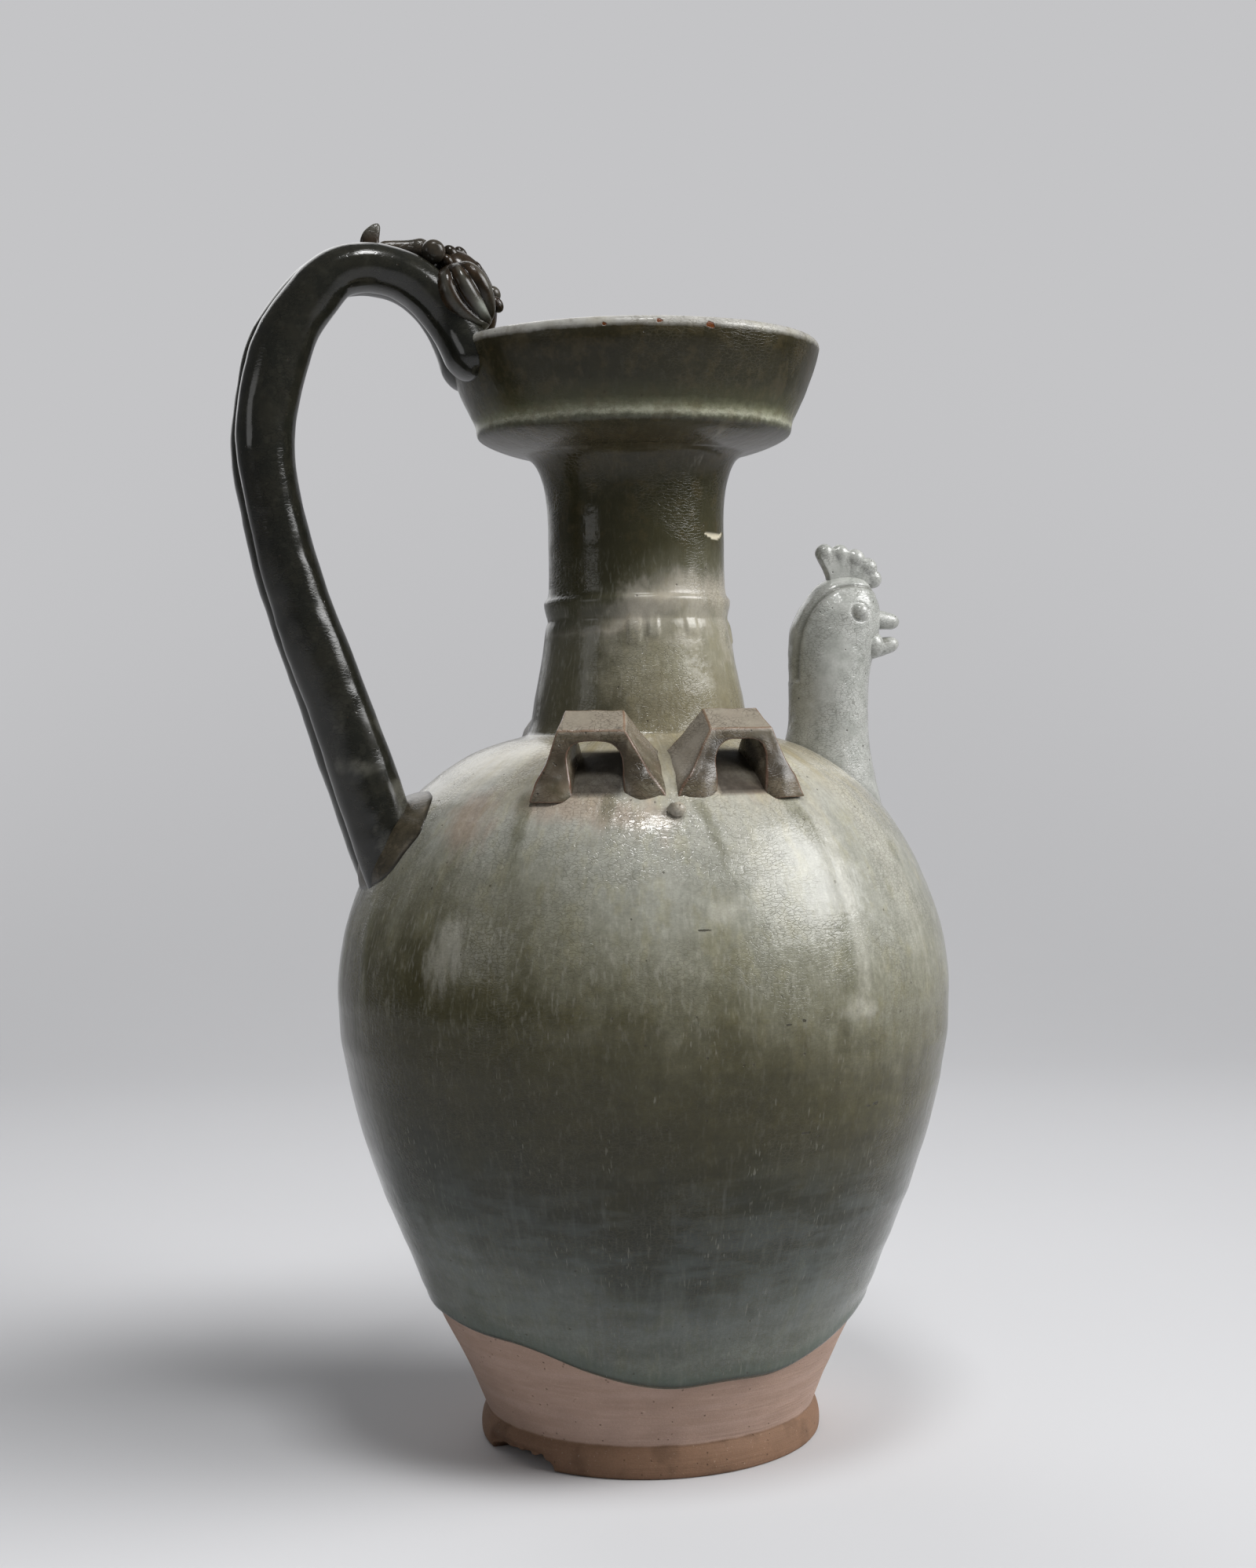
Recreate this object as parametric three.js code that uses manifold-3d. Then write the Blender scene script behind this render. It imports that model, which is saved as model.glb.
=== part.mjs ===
// Celadon ewer of the chicken-head kind, as the separately formed clay pieces it is luted from.
// Millimetres, +Z up. The origin is the centre of the flat underside of the foot.
// +X points to the cockerel's head, -X to the dragon handle, and -Y is the front.
import * as THREE from "three";
import { mergeVertices } from "three/addons/utils/BufferGeometryUtils.js";
import Module from "manifold-3d";

const wasm = await Module();
wasm.setup();

// Heights of the thrown pieces, from the table up
const footHeight = 10.6;
const lowerHeight = 147;
const shoulderHeight = 92.4;
const neckConeHeight = 40;
const neckTubeHeight = 60.2;
const dishUnderHeight = 7.3;
const dishWallHeight = 29.5;
const lipHeight = 3;

// Outer radii of the thrown pieces
const flangeRadius = 60.6;
const waistRadius = 58.7;
const bellyRadius = 110;
const neckBaseRadius = 41;
const neckScoreRadius = 32.6;
const neckRadius = 32;
const neckTopRadius = 39.8;
const dishCornerRadius = 57;
const dishRimRadius = 67.4;

// Walls, edges and the gaps that the slip fills
const bodyWall = 6;
const neckWall = 5.5;
const dishWall = 6;
const floorThickness = 8;
const flangeHeight = 4.8;
const footEdge = 0.9;
const seam = 0.3;
const seat = 0.3;
const overrun = 6;

// Rib round the neck
const ribRise = 1.3;
const ribHeight = 9;

// Double-roll handle: rise of its crown over the mouth, reach, and half sizes of one roll
const crownRise = 23.5;
const handleReach = 133.3;
const rollThickness = 9.2;
const rollBreadth = 10.5;
const rollGap = 0.3;
const rollLift = 3.4;
const rollSpread = 3;

// Clay pad round the handle's root
const padHeight = 42;
const padWidth = 66;
const padRise = 4.5;
const padLift = 1.5;
const padTilt = 7;

// Dragon's head, its parts and where it sits over the rim
const dragonLength = 33;
const dragonDepth = 17;
const dragonWidth = 24;
const dragonInset = 6.7;
const dragonLift = 17.9;
const dragonTilt = 58;
const cheekLength = 26;
const cheekDepth = 22;
const cheekWidth = 21;
const cheekFlute = 1.1;
const dragonEyeRadius = 4.2;
const dragonNoseRadius = 2.9;

// Spike and strip of clay along the handle behind the dragon's head
const crestReach = 98.1;
const crestLength = 6.8;
const crestRise = 8.4;
const crestThickness = 3;
const crestBevel = 0.8;
const ridgeRadius = 3.1;
const ridgeNoseRadius = 3.7;
const ridgeRise = 1.5;
const ridgeGap = 1.5;

// Cockerel on the shoulder
const cockRise = 55.8;
const cockNeckRadius = 14.4;
const combLobeRadius = 4.2;
const combThickness = 5.6;
const combWebThickness = 4;
const cockEyeRadius = 2.8;
const beakLength = 9;
const beakRootRadius = 3.6;
const beakTipRadius = 2.1;
const beakGape = 10;

// Bridge lugs round the neck
const lugBaseWidth = 40;
const lugTopWidth = 22.4;
const lugBaseDepth = 18.5;
const lugTopDepth = 10.4;
const lugHeight = 16.2;
const lugHoleWidth = 18.4;
const lugHoleHeight = 13;
const lugHoleCorner = 7;
const lugSpread = 37;
const lugTurn = -6.5;
const lugToe = 5;
const lugLean = 2.4;

// Fineness of the round forms, in counts
const turnSteps = 40;
const rollSides = 12;
const rollSteps = 32;
const tipSteps = 3;
const cockSides = 16;
const ballSteps = 10;
const cheekFlutes = 3;

// Levels of the joints between the thrown pieces
const lowerLevel = footHeight;
const bellyLevel = lowerLevel + lowerHeight;
const neckLevel = bellyLevel + shoulderHeight;
const scoreLevel = neckLevel + neckConeHeight;
const dishLevel = scoreLevel + neckTubeHeight;
const cornerLevel = dishLevel + dishUnderHeight;
const lipLevel = cornerLevel + dishWallHeight;
const mouthLevel = lipLevel + lipHeight;

// Outer outlines as shares [radius, height] of each piece's own reach and height
const lowerShares = [
  [0, 0], [0.143, 0.116], [0.373, 0.274], [0.578, 0.431],
  [0.754, 0.587], [0.893, 0.741], [0.982, 0.895], [1, 1],
];
const upperShares = [
  [1, 0], [0.993, 0.135], [0.908, 0.375], [0.772, 0.6], [0.653, 0.722],
  [0.554, 0.801], [0.436, 0.871], [0.284, 0.93], [0.13, 0.973], [0, 1],
];
const coneShares = [[1, 0], [0.74, 0.24], [0.42, 0.52], [0.15, 0.8], [0, 1]];
const flareShares = [[0, 0], [0.01, 0.5], [0.16, 0.78], [0.42, 0.89], [1, 1]];
const underShares = [[0, 0], [0.32, 0.16], [0.63, 0.42], [0.89, 0.74], [1, 1]];
const dishShares = [[0, 0], [0.106, 0.124], [0.288, 0.323], [0.577, 0.56], [0.856, 0.79], [1, 1]];

// Centre line of the handle as shares [reach, height]: up from the shoulder, then down to the rim
const rootShare = 0.6;
const climbShares = [
  [-0.26, -0.135], [-0.07, -0.03], [0.18, 0.119], [0.422, 0.259], [0.668, 0.395], [0.862, 0.527],
  [1, 0.699], [0.895, 0.82], [0.767, 0.889], [0.596, 0.938], [0.368, 0.985], [0.092, 1],
];
const descentShares = [
  [0.305, 0.937], [0.199, 0.798], [0.105, 0.571], [0.024, 0.294],
  [-0.036, 0], [-0.082, -0.336], [-0.108, -0.672],
];

// Share of the handle's length at which it reaches its crown
const crownShare = 0.81;

// Thickness of a roll as a share of its middle thickness, at shares of the handle's length
const rollShares = [
  [0, 1.28], [0.15, 1.24], [0.3, 1.17], [0.4, 1.1], [0.49, 1.05], [0.58, 1.1], [0.66, 1.15],
  [0.72, 1.04], [0.8, 0.9], [1, 0.9],
];

// Share of the handle's length past which the rolls spread
const spreadShare = 0.91;

// How far the back roll arches above the front roll, as shares of its lift, at shares of the length
const liftShares = [[0, 0], [0.3, 0.1], [0.6, 0.15], [0.68, 0.45], [0.8, 0.7], [0.9, 1], [1, 0.6]];

// Places of the cockerel and the lugs between the neck's base and the belly, and their reaches
const cockPlaceShare = 0.455;
const lugPlaceShare = 0.4;
const cockReach = neckBaseRadius + cockPlaceShare * (bellyRadius - neckBaseRadius);
const lugReach = neckBaseRadius + lugPlaceShare * (bellyRadius - neckBaseRadius);

// Places of the dragon's parts as shares [along, across, outward] of the head's half sizes
const cheekPlaceShares = [0.16, 1.2, -0.66];
const dragonEyeShares = [-1.045, 0.72, -0.52];
const dragonNoseShares = [0.33, 0, 0.92];
const dragonTaperShare = 0.17;

// Cockerel's body as shares of its neck's radius [back, front, half width], at shares of its height
const cockShares = [
  [0, 1.5, 1.42, 1.3], [0.21, 1.28, 1.12, 1.1], [0.32, 1.15, 1.02, 1.02], [0.41, 1.04, 1.01, 1],
  [0.53, 1.03, 1.03, 0.98], [0.64, 1.03, 1.13, 0.96], [0.72, 1.02, 1.29, 0.93],
  [0.787, 0.97, 1.38, 0.88], [0.855, 0.79, 1.4, 0.8], [0.909, 0.54, 1.33, 0.69],
  [0.956, 0.28, 1.2, 0.53], [0.985, 0, 1, 0.32],
];
const cockEyeShares = [0.62, 0.8, 0.853];
const upperBeakShares = [1.12, 0.819];
const lowerBeakShares = [1.06, 0.7];

// Lobes of the comb as shares [reach, height, radius], and the web under them as [reach, height]
const combLobeShares = [
  [-0.2, 1.107, 0.78], [0.12, 1.118, 0.98], [0.47, 1.1, 1.05], [0.82, 1.073, 1.05], [1.15, 1.032, 1.1],
];
const combWebShares = [
  [-0.12, 0.95], [-0.14, 1.05], [-0.2, 1.107], [0.12, 1.118], [0.47, 1.1], [0.82, 1.073],
  [1.15, 1.032], [1.12, 0.96], [0.9, 0.9],
];

// Width of a rod across the handle's plane as a share of its height
const ridgeFlatShare = 0.9;
const beakFlatShare = 1.15;

// Width of a lug at its back as a share of its width at the front
const lugBackShare = 0.88;

// Side view of the dragon's spike as shares [length, rise]
const crestShares = [[0, -0.9], [0, 0], [0.22, 0.42], [0.86, 1], [1, 0.86], [0.94, 0.4], [1, -0.9]];

// Finishes: glazes of several depths, and bare clay
const glaze = { color: 0x8a9080, roughness: 0.3, metalness: 0 };
const paleGlaze = { color: 0xa9aea3, roughness: 0.3, metalness: 0 };
const darkGlaze = { color: 0x4c4d42, roughness: 0.28, metalness: 0 };
const thinGlaze = { color: 0x7d7263, roughness: 0.42, metalness: 0 };
const bareClay = { color: 0xa98672, roughness: 0.85, metalness: 0 };

const ewer = new THREE.Group();
const { lerp, degToRad, smoothstep } = THREE.MathUtils;

// Adds one named piece of clay to the ewer
function piece(name, geometry, finish) {
  const mesh = new THREE.Mesh(geometry, new THREE.MeshStandardMaterial(finish));
  mesh.name = name;
  ewer.add(mesh);
}

// Makes a closed geometry into a solid that can be joined and cut
function solid(geometry) {
  const bare = geometry.clone();
  bare.deleteAttribute("normal");
  bare.deleteAttribute("uv");
  const merged = mergeVertices(bare);
  const corners = merged.index.array;
  const kept = [];
  for (let i = 0; i < corners.length; i += 3) {
    const [a, b, c] = corners.slice(i, i + 3);
    if (a !== b && b !== c && c !== a) kept.push(a, b, c);
  }
  return new wasm.Manifold(new wasm.Mesh({
    numProp: 3,
    vertProperties: new Float32Array(merged.attributes.position.array),
    triVerts: new Uint32Array(kept),
  }));
}

// Makes a solid back into a geometry
function geometryOf(body) {
  const mesh = body.getMesh();
  const geometry = new THREE.BufferGeometry();
  geometry.setAttribute("position", new THREE.BufferAttribute(mesh.vertProperties, mesh.numProp));
  geometry.setIndex(new THREE.BufferAttribute(mesh.triVerts, 1));
  geometry.computeVertexNormals();
  return geometry;
}

// Grows a rounded form by a gap on every side, about its own middle
function swollen(geometry, gap) {
  const grown = geometry.clone();
  grown.computeBoundingBox();
  const middle = grown.boundingBox.getCenter(new THREE.Vector3());
  const size = grown.boundingBox.getSize(new THREE.Vector3());
  grown.translate(-middle.x, -middle.y, -middle.z);
  grown.scale((size.x + 2 * gap) / size.x, (size.y + 2 * gap) / size.y, (size.z + 2 * gap) / size.z);
  grown.translate(middle.x, middle.y, middle.z);
  return grown;
}

// Cuts a geometry back from solids that it sits against, and keeps its largest part
function fitted(geometry, obstacles) {
  const cut = obstacles.reduce((rest, obstacle) => rest.subtract(obstacle), solid(geometry));
  const parts = cut.decompose().sort((one, other) => other.volume() - one.volume());
  return geometryOf(parts[0]);
}

// Turns a closed outline of [radius, height] points about the Z axis
function turned(outline) {
  const points = outline.map(([radius, height]) => new THREE.Vector2(radius, height));
  const geometry = new THREE.LatheGeometry(points, turnSteps);
  geometry.rotateX(degToRad(90));
  return geometryOf(solid(geometry));
}

// Closes a run of rings of points into a solid form, with a fan over each end
function loft(rings) {
  const count = rings[0].length;
  const positions = rings.flatMap((ring) => ring.flatMap((point) => point.toArray()));
  const ends = [rings[0], rings[rings.length - 1]].map((ring) => ring
    .reduce((sum, point) => sum.add(point), new THREE.Vector3())
    .divideScalar(count));
  ends.forEach((point) => positions.push(...point.toArray()));
  const firstEnd = rings.length * count;
  const lastRing = firstEnd - count;
  const index = [];
  for (let side = 0; side < count; side += 1) {
    const next = (side + 1) % count;
    for (let low = 0; low < lastRing; low += count) {
      const high = low + count;
      index.push(low + side, low + next, high + next);
      index.push(low + side, high + next, high + side);
    }
    index.push(firstEnd, next, side);
    index.push(firstEnd + 1, lastRing + side, lastRing + next);
  }
  const geometry = new THREE.BufferGeometry();
  geometry.setAttribute("position", new THREE.Float32BufferAttribute(positions, 3));
  geometry.setIndex(index);
  return geometry;
}

// Points of an ellipse round a middle, from two half axes, counter-clockwise about their cross product
function ellipse(middle, first, second, sides) {
  return Array.from({ length: sides }, (_, side) => {
    const angle = degToRad((360 * side) / sides);
    return middle.clone().addScaledVector(first, Math.cos(angle)).addScaledVector(second, Math.sin(angle));
  });
}

// Reads a table of shares as [radius, height] points on a smooth curve
function outline(shares, innerRadius, outerRadius, low, high, steps) {
  const knots = shares.map(([reach, rise]) => new THREE.Vector2(
    lerp(innerRadius, outerRadius, reach),
    lerp(low, high, rise),
  ));
  return new THREE.SplineCurve(knots).getSpacedPoints(steps).map((point) => point.toArray());
}

// Moves an outline to its left by a distance, at right angles to itself
function offset(points, distance) {
  return points.map((point, i) => {
    const before = points[Math.max(i - 1, 0)];
    const after = points[Math.min(i + 1, points.length - 1)];
    const along = new THREE.Vector2(after[0] - before[0], after[1] - before[1]).normalize();
    return [point[0] - along.y * distance, point[1] + along.x * distance];
  });
}

// Reads a table of [share, value] stations at a share, eased between them
function tableAt(stations, share) {
  const i = Math.max(1, stations.findIndex((station) => station[0] >= share));
  const [from, to] = [stations[i - 1], stations[i]];
  return lerp(from[1], to[1], smoothstep(share, from[0], to[0]));
}

// Keeps every second point of an inner outline, and its last one
function sparse(points) {
  return points.filter((_, i) => i % 2 === 0 || i === points.length - 1);
}

// Radius of an outline at a level
function radiusAt(points, level) {
  const i = Math.max(1, points.findIndex((point) => point[1] >= level));
  const [from, to] = [points[i - 1], points[i]];
  return lerp(from[0], to[0], (level - from[1]) / (to[1] - from[1]));
}

// Level of the shoulder at a radius
function shoulderAt(radius) {
  const i = upperOutline.findIndex((point) => point[0] <= radius);
  const [from, to] = [upperOutline[i - 1], upperOutline[i]];
  return lerp(from[1], to[1], (radius - from[0]) / (to[0] - from[0]));
}

// Lowers the last point of an outline by the seam that the slip fills
function belowSeam(points) {
  const [radius, level] = points[points.length - 1];
  return [...points.slice(0, -1), [radius, level - seam]];
}

// Outer outlines of the thrown pieces, from the table up
const footOutline = [
  [flangeRadius - footEdge, 0], [flangeRadius, footEdge], [flangeRadius, flangeHeight],
  [waistRadius, footHeight],
];
const lowerOutline = outline(lowerShares, waistRadius, bellyRadius, lowerLevel, bellyLevel, 11);
const upperOutline = outline(upperShares, neckBaseRadius, bellyRadius, bellyLevel, neckLevel, 14);
const coneOutline = outline(coneShares, neckScoreRadius, neckBaseRadius, neckLevel, scoreLevel, 5);
const tubeOutline = [
  [neckScoreRadius, scoreLevel],
  [neckScoreRadius, scoreLevel + ribHeight / 3],
  [neckScoreRadius + ribRise, scoreLevel + (2 * ribHeight) / 3],
  ...outline(flareShares, neckRadius, neckTopRadius, scoreLevel + ribHeight, dishLevel, 9),
];
const dishOutline = [
  ...outline(underShares, neckTopRadius, dishCornerRadius, dishLevel, cornerLevel, 4),
  ...outline(dishShares, dishCornerRadius, dishRimRadius, cornerLevel, lipLevel, 5).slice(1),
];
const lipOutline = [30, 60, 90, 120, 150, 180].map((angle) => [
  dishRimRadius - (dishWall / 2) * (1 - Math.cos(degToRad(angle))),
  lipLevel + lipHeight * Math.sin(degToRad(angle)),
]);

// Foot: a thick flat disc with a flared edge
function footDisc() {
  return turned([[0, 0], ...belowSeam(footOutline), [0, footHeight - seam]]);
}

// Lower body: a bowl with the vessel's floor
function lowerBody() {
  const floorLevel = lowerLevel + floorThickness;
  const inner = sparse(offset(lowerOutline, bodyWall).filter((point) => point[1] > floorLevel));
  inner[inner.length - 1] = [bellyRadius - bodyWall, bellyLevel - seam];
  const floorRadius = radiusAt(offset(lowerOutline, bodyWall), floorLevel);
  return turned([
    [0, lowerLevel], ...belowSeam(lowerOutline), ...inner.reverse(), [floorRadius, floorLevel], [0, floorLevel],
  ]);
}

// Upper body: the shoulder, open at the belly and at the neck
function upperBody() {
  const holeRadius = neckBaseRadius - neckWall;
  const inner = sparse(offset(upperOutline, bodyWall).filter((point) => point[0] > holeRadius + overrun));
  inner[0] = [bellyRadius - bodyWall, bellyLevel];
  const lastLevel = inner[inner.length - 1][1];
  return turned([
    ...belowSeam(upperOutline), [holeRadius, neckLevel - seam], [holeRadius, lastLevel],
    ...inner.reverse(), upperOutline[0],
  ]);
}

// Neck: a cone up to the scored line, then a ribbed tube that flares under the dish
function neckPiece(points) {
  const inner = sparse(belowSeam(points)).map(([radius, level]) => [radius - neckWall, level]);
  return turned([...belowSeam(points), ...inner.reverse(), points[0]]);
}

// Dish-shaped mouth with a rounded lip
function dishMouth() {
  const holeRadius = neckTopRadius - neckWall;
  const inner = offset(dishOutline, dishWall).filter((point) => point[0] > holeRadius);
  inner.pop();
  return turned([
    ...dishOutline, ...lipOutline, ...inner.reverse(), [holeRadius, dishLevel + dishWall / 2],
    [holeRadius, dishLevel], dishOutline[0],
  ]);
}

// The vessel's outer skin as one filled solid, grown by the gap that applied pieces keep
function skinSolid() {
  const points = [
    ...footOutline, ...lowerOutline.slice(1), ...upperOutline.slice(1), ...coneOutline.slice(1),
    ...tubeOutline.slice(1), ...dishOutline.slice(1), ...lipOutline,
  ];
  const grown = offset(points, -seat);
  const top = grown[grown.length - 1];
  return solid(turned([[0, -seat], [grown[0][0], -seat], ...grown, [0, top[1]]]));
}

// Centre line of the double-roll handle, in the XZ plane
const rootLevel = lerp(bellyLevel, neckLevel, rootShare);
const rootRadius = radiusAt(upperOutline, rootLevel);
const crownLevel = mouthLevel + crownRise;
const handleLine = new THREE.CatmullRomCurve3([
  ...climbShares.map(([reach, rise]) => new THREE.Vector3(
    -lerp(rootRadius, handleReach, reach), 0, lerp(rootLevel, crownLevel, rise),
  )),
  ...descentShares.map(([reach, rise]) => new THREE.Vector3(
    -lerp(dishRimRadius, handleReach, reach), 0, lerp(mouthLevel, crownLevel, rise),
  )),
]);

// Half thickness of a roll at a share of the handle's length
function rollHalf(share) {
  return rollThickness * tableAt(rollShares, share);
}

// One roll of the handle, on the front (-1) or back (1) side, with a rounded tongue at its end
function handleRoll(side, gap) {
  const tipShare = 1 - rollBreadth / handleLine.getLength();
  const stations = [];
  for (let i = 0; i <= rollSteps; i += 1) stations.push([(tipShare * i) / rollSteps, 1]);
  for (let i = 1; i <= tipSteps; i += 1) {
    const angle = degToRad((90 * i) / (tipSteps + 1));
    stations.push([lerp(tipShare, 1, Math.sin(angle)), Math.cos(angle)]);
  }
  const across = new THREE.Vector3(0, 1, 0);
  const rings = stations.map(([share, width]) => {
    const middle = handleLine.getPointAt(share);
    const outward = handleLine.getTangentAt(share).cross(across);
    if (side > 0) middle.addScaledVector(outward, rollLift * tableAt(liftShares, share));
    const breadth = rollBreadth + rollSpread * smoothstep(share, spreadShare, 1);
    middle.y = side * (breadth + rollGap / 2);
    return ellipse(
      middle,
      across.clone().setLength(breadth * width + gap),
      outward.setLength(rollHalf(share) * width + gap),
      rollSides,
    );
  });
  return loft(rings);
}

// A ball drawn out to three half sizes, narrowing by a share towards +X
function egg(length, width, depth, taper, steps) {
  const geometry = new THREE.SphereGeometry(1, 2 * steps, steps);
  geometry.rotateZ(degToRad(90));
  const place = geometry.attributes.position;
  for (let i = 0; i < place.count; i += 1) {
    const narrow = 1 - taper * place.getX(i);
    place.setXYZ(
      i,
      (place.getX(i) * length) / 2,
      (place.getY(i) * narrow * width) / 2,
      (place.getZ(i) * narrow * depth) / 2,
    );
  }
  return geometry;
}

// Turns a form from the dragon head's own axes [along, across, outward] to its place over the rim
function onDragon(geometry, [along, across, outward]) {
  geometry.translate(
    (along * dragonLength) / 2, (across * dragonWidth) / 2, (outward * dragonDepth) / 2,
  );
  geometry.rotateY(degToRad(dragonTilt));
  geometry.translate(dragonInset - dishRimRadius, 0, mouthLevel + dragonLift);
  return geometry;
}

// Dragon's cheek with flutes along it, on the front (-1) or back (1) side
function cheek(side) {
  const geometry = egg(cheekLength, cheekWidth, cheekDepth, dragonTaperShare, ballSteps);
  const place = geometry.attributes.position;
  for (let i = 0; i < place.count; i += 1) {
    const rise = Math.cos((Math.PI * 2 * cheekFlutes * place.getZ(i)) / cheekDepth);
    const fade = 1 - Math.abs((2 * place.getX(i)) / cheekLength);
    place.setY(i, place.getY(i) + side * cheekFlute * rise * fade);
  }
  return onDragon(geometry, [cheekPlaceShares[0], side * cheekPlaceShares[1], cheekPlaceShares[2]]);
}

// Dragon's pellet eye, on the front (-1) or back (1) side
function dragonEye(side) {
  const [along, across, outward] = dragonEyeShares;
  return onDragon(ball(dragonEyeRadius), [along, side * across, outward]);
}

// A small ball of clay
function ball(radius) {
  return new THREE.SphereGeometry(radius, ballSteps, ballSteps / 2 + 1);
}

// A round rod between two points of the XZ plane, with a half ball on its far end
function rod(from, to, fromRadius, toRadius, widthShare) {
  const outward = to.clone().sub(from).normalize();
  const across = new THREE.Vector3(0, 1, 0);
  const raised = outward.clone().cross(across);
  const stations = [[0, 1], [0.5, 1], [1, 1]].map(([share, width]) => [from.clone().lerp(to, share), share, width]);
  for (let i = 1; i <= tipSteps; i += 1) {
    const angle = degToRad((90 * i) / (tipSteps + 1));
    stations.push([to.clone().addScaledVector(outward, toRadius * Math.sin(angle)), 1, Math.cos(angle)]);
  }
  return loft(stations.map(([middle, share, width]) => {
    const radius = lerp(fromRadius, toRadius, share) * width;
    return ellipse(
      middle, across.clone().setLength(radius * widthShare), raised.clone().setLength(radius), ballSteps,
    );
  }));
}

// Cuts a flat form out of a side view in the XZ plane, centred across the handle's plane
function sideSlab(shape, thickness, bevel) {
  const geometry = new THREE.ExtrudeGeometry(shape, {
    depth: thickness - 2 * bevel,
    bevelEnabled: bevel > 0,
    bevelThickness: bevel,
    bevelSize: bevel,
    bevelSegments: 2,
  });
  geometry.translate(0, 0, bevel - thickness / 2);
  geometry.rotateX(degToRad(90));
  return geometry;
}

// Half thickness of the handle at its crown
const crownHalf = rollHalf(crownShare);

// Spike on the handle's crown
function crest() {
  const top = crownLevel + crownHalf;
  const points = crestShares.map(([length, rise]) => new THREE.Vector2(
    length * crestLength - crestReach, top + rise * crestRise,
  ));
  return sideSlab(new THREE.Shape(points), crestThickness, crestBevel);
}

// Strip of clay from the spike to the dragon's head
function napeRidge() {
  const level = crownLevel + crownHalf + ridgeRise - ridgeGap / 2;
  const start = new THREE.Vector3(crestLength - crestReach + ridgeGap / 2, 0, level);
  const head = dishRimRadius - dragonInset + dragonDepth / 2 + dragonEyeRadius;
  const end = new THREE.Vector3(-head - ridgeNoseRadius, 0, level);
  return rod(start, end, ridgeRadius, ridgeNoseRadius, ridgeFlatShare);
}

// Clay pad round the handle's root, pressed on the shoulder
function rootPad() {
  const geometry = egg(padHeight, padWidth, 2 * padRise, 0, ballSteps);
  const level = rootLevel + padLift;
  const below = radiusAt(upperOutline, level - padHeight / 4);
  const above = radiusAt(upperOutline, level + padHeight / 4);
  geometry.rotateY(-Math.atan2(padHeight / 2, below - above) - degToRad(padTilt));
  geometry.translate(-radiusAt(upperOutline, level), 0, level);
  return geometry;
}

// Cockerel's neck and head, one solid form
const cockBase = shoulderLevelUnderCock();
const cockTop = neckLevel + cockRise;

function shoulderLevelUnderCock() {
  return shoulderAt(cockReach + cockNeckRadius) - overrun;
}

function cockBody() {
  return loft(cockShares.map(([rise, back, front, width]) => {
    const middle = new THREE.Vector3(
      cockReach + ((front - back) * cockNeckRadius) / 2, 0, lerp(cockBase, cockTop, rise),
    );
    const first = new THREE.Vector3(((front + back) * cockNeckRadius) / 2, 0, 0);
    return ellipse(middle, first, new THREE.Vector3(0, width * cockNeckRadius, 0), cockSides);
  }));
}

// A place on the cockerel's side view from shares [reach, height]
function onCock([reach, rise]) {
  return new THREE.Vector3(cockReach + reach * cockNeckRadius, 0, lerp(cockBase, cockTop, rise));
}

// Cockerel's pellet eye, on the front (-1) or back (1) side
function cockEye(side) {
  const [reach, across, rise] = cockEyeShares;
  const place = onCock([reach, rise]);
  const geometry = ball(cockEyeRadius);
  geometry.translate(place.x, side * across * cockNeckRadius, place.z);
  return geometry;
}

// One half of the open beak
function beakHalf(shares, pitch) {
  const start = onCock(shares);
  const reach = new THREE.Vector3(Math.cos(degToRad(pitch)), 0, Math.sin(degToRad(pitch)));
  const tip = start.clone().addScaledVector(reach, beakLength);
  return rod(start, tip, beakRootRadius, beakTipRadius, beakFlatShare);
}

// Comb: five flattened lobes on a thin web over the head
function comb() {
  const web = new THREE.Shape(combWebShares.map((shares) => {
    const place = onCock(shares);
    return new THREE.Vector2(place.x, place.z);
  }));
  const lobes = combLobeShares.map(([reach, rise, size]) => {
    const place = onCock([reach, rise]);
    const lobe = ball(size * combLobeRadius);
    lobe.scale(1, combThickness / (2 * combLobeRadius), 1);
    lobe.translate(place.x, 0, place.z);
    return solid(lobe);
  });
  return geometryOf(lobes.reduce((rest, lobe) => rest.add(lobe), solid(sideSlab(web, combWebThickness, 0))));
}

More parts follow.
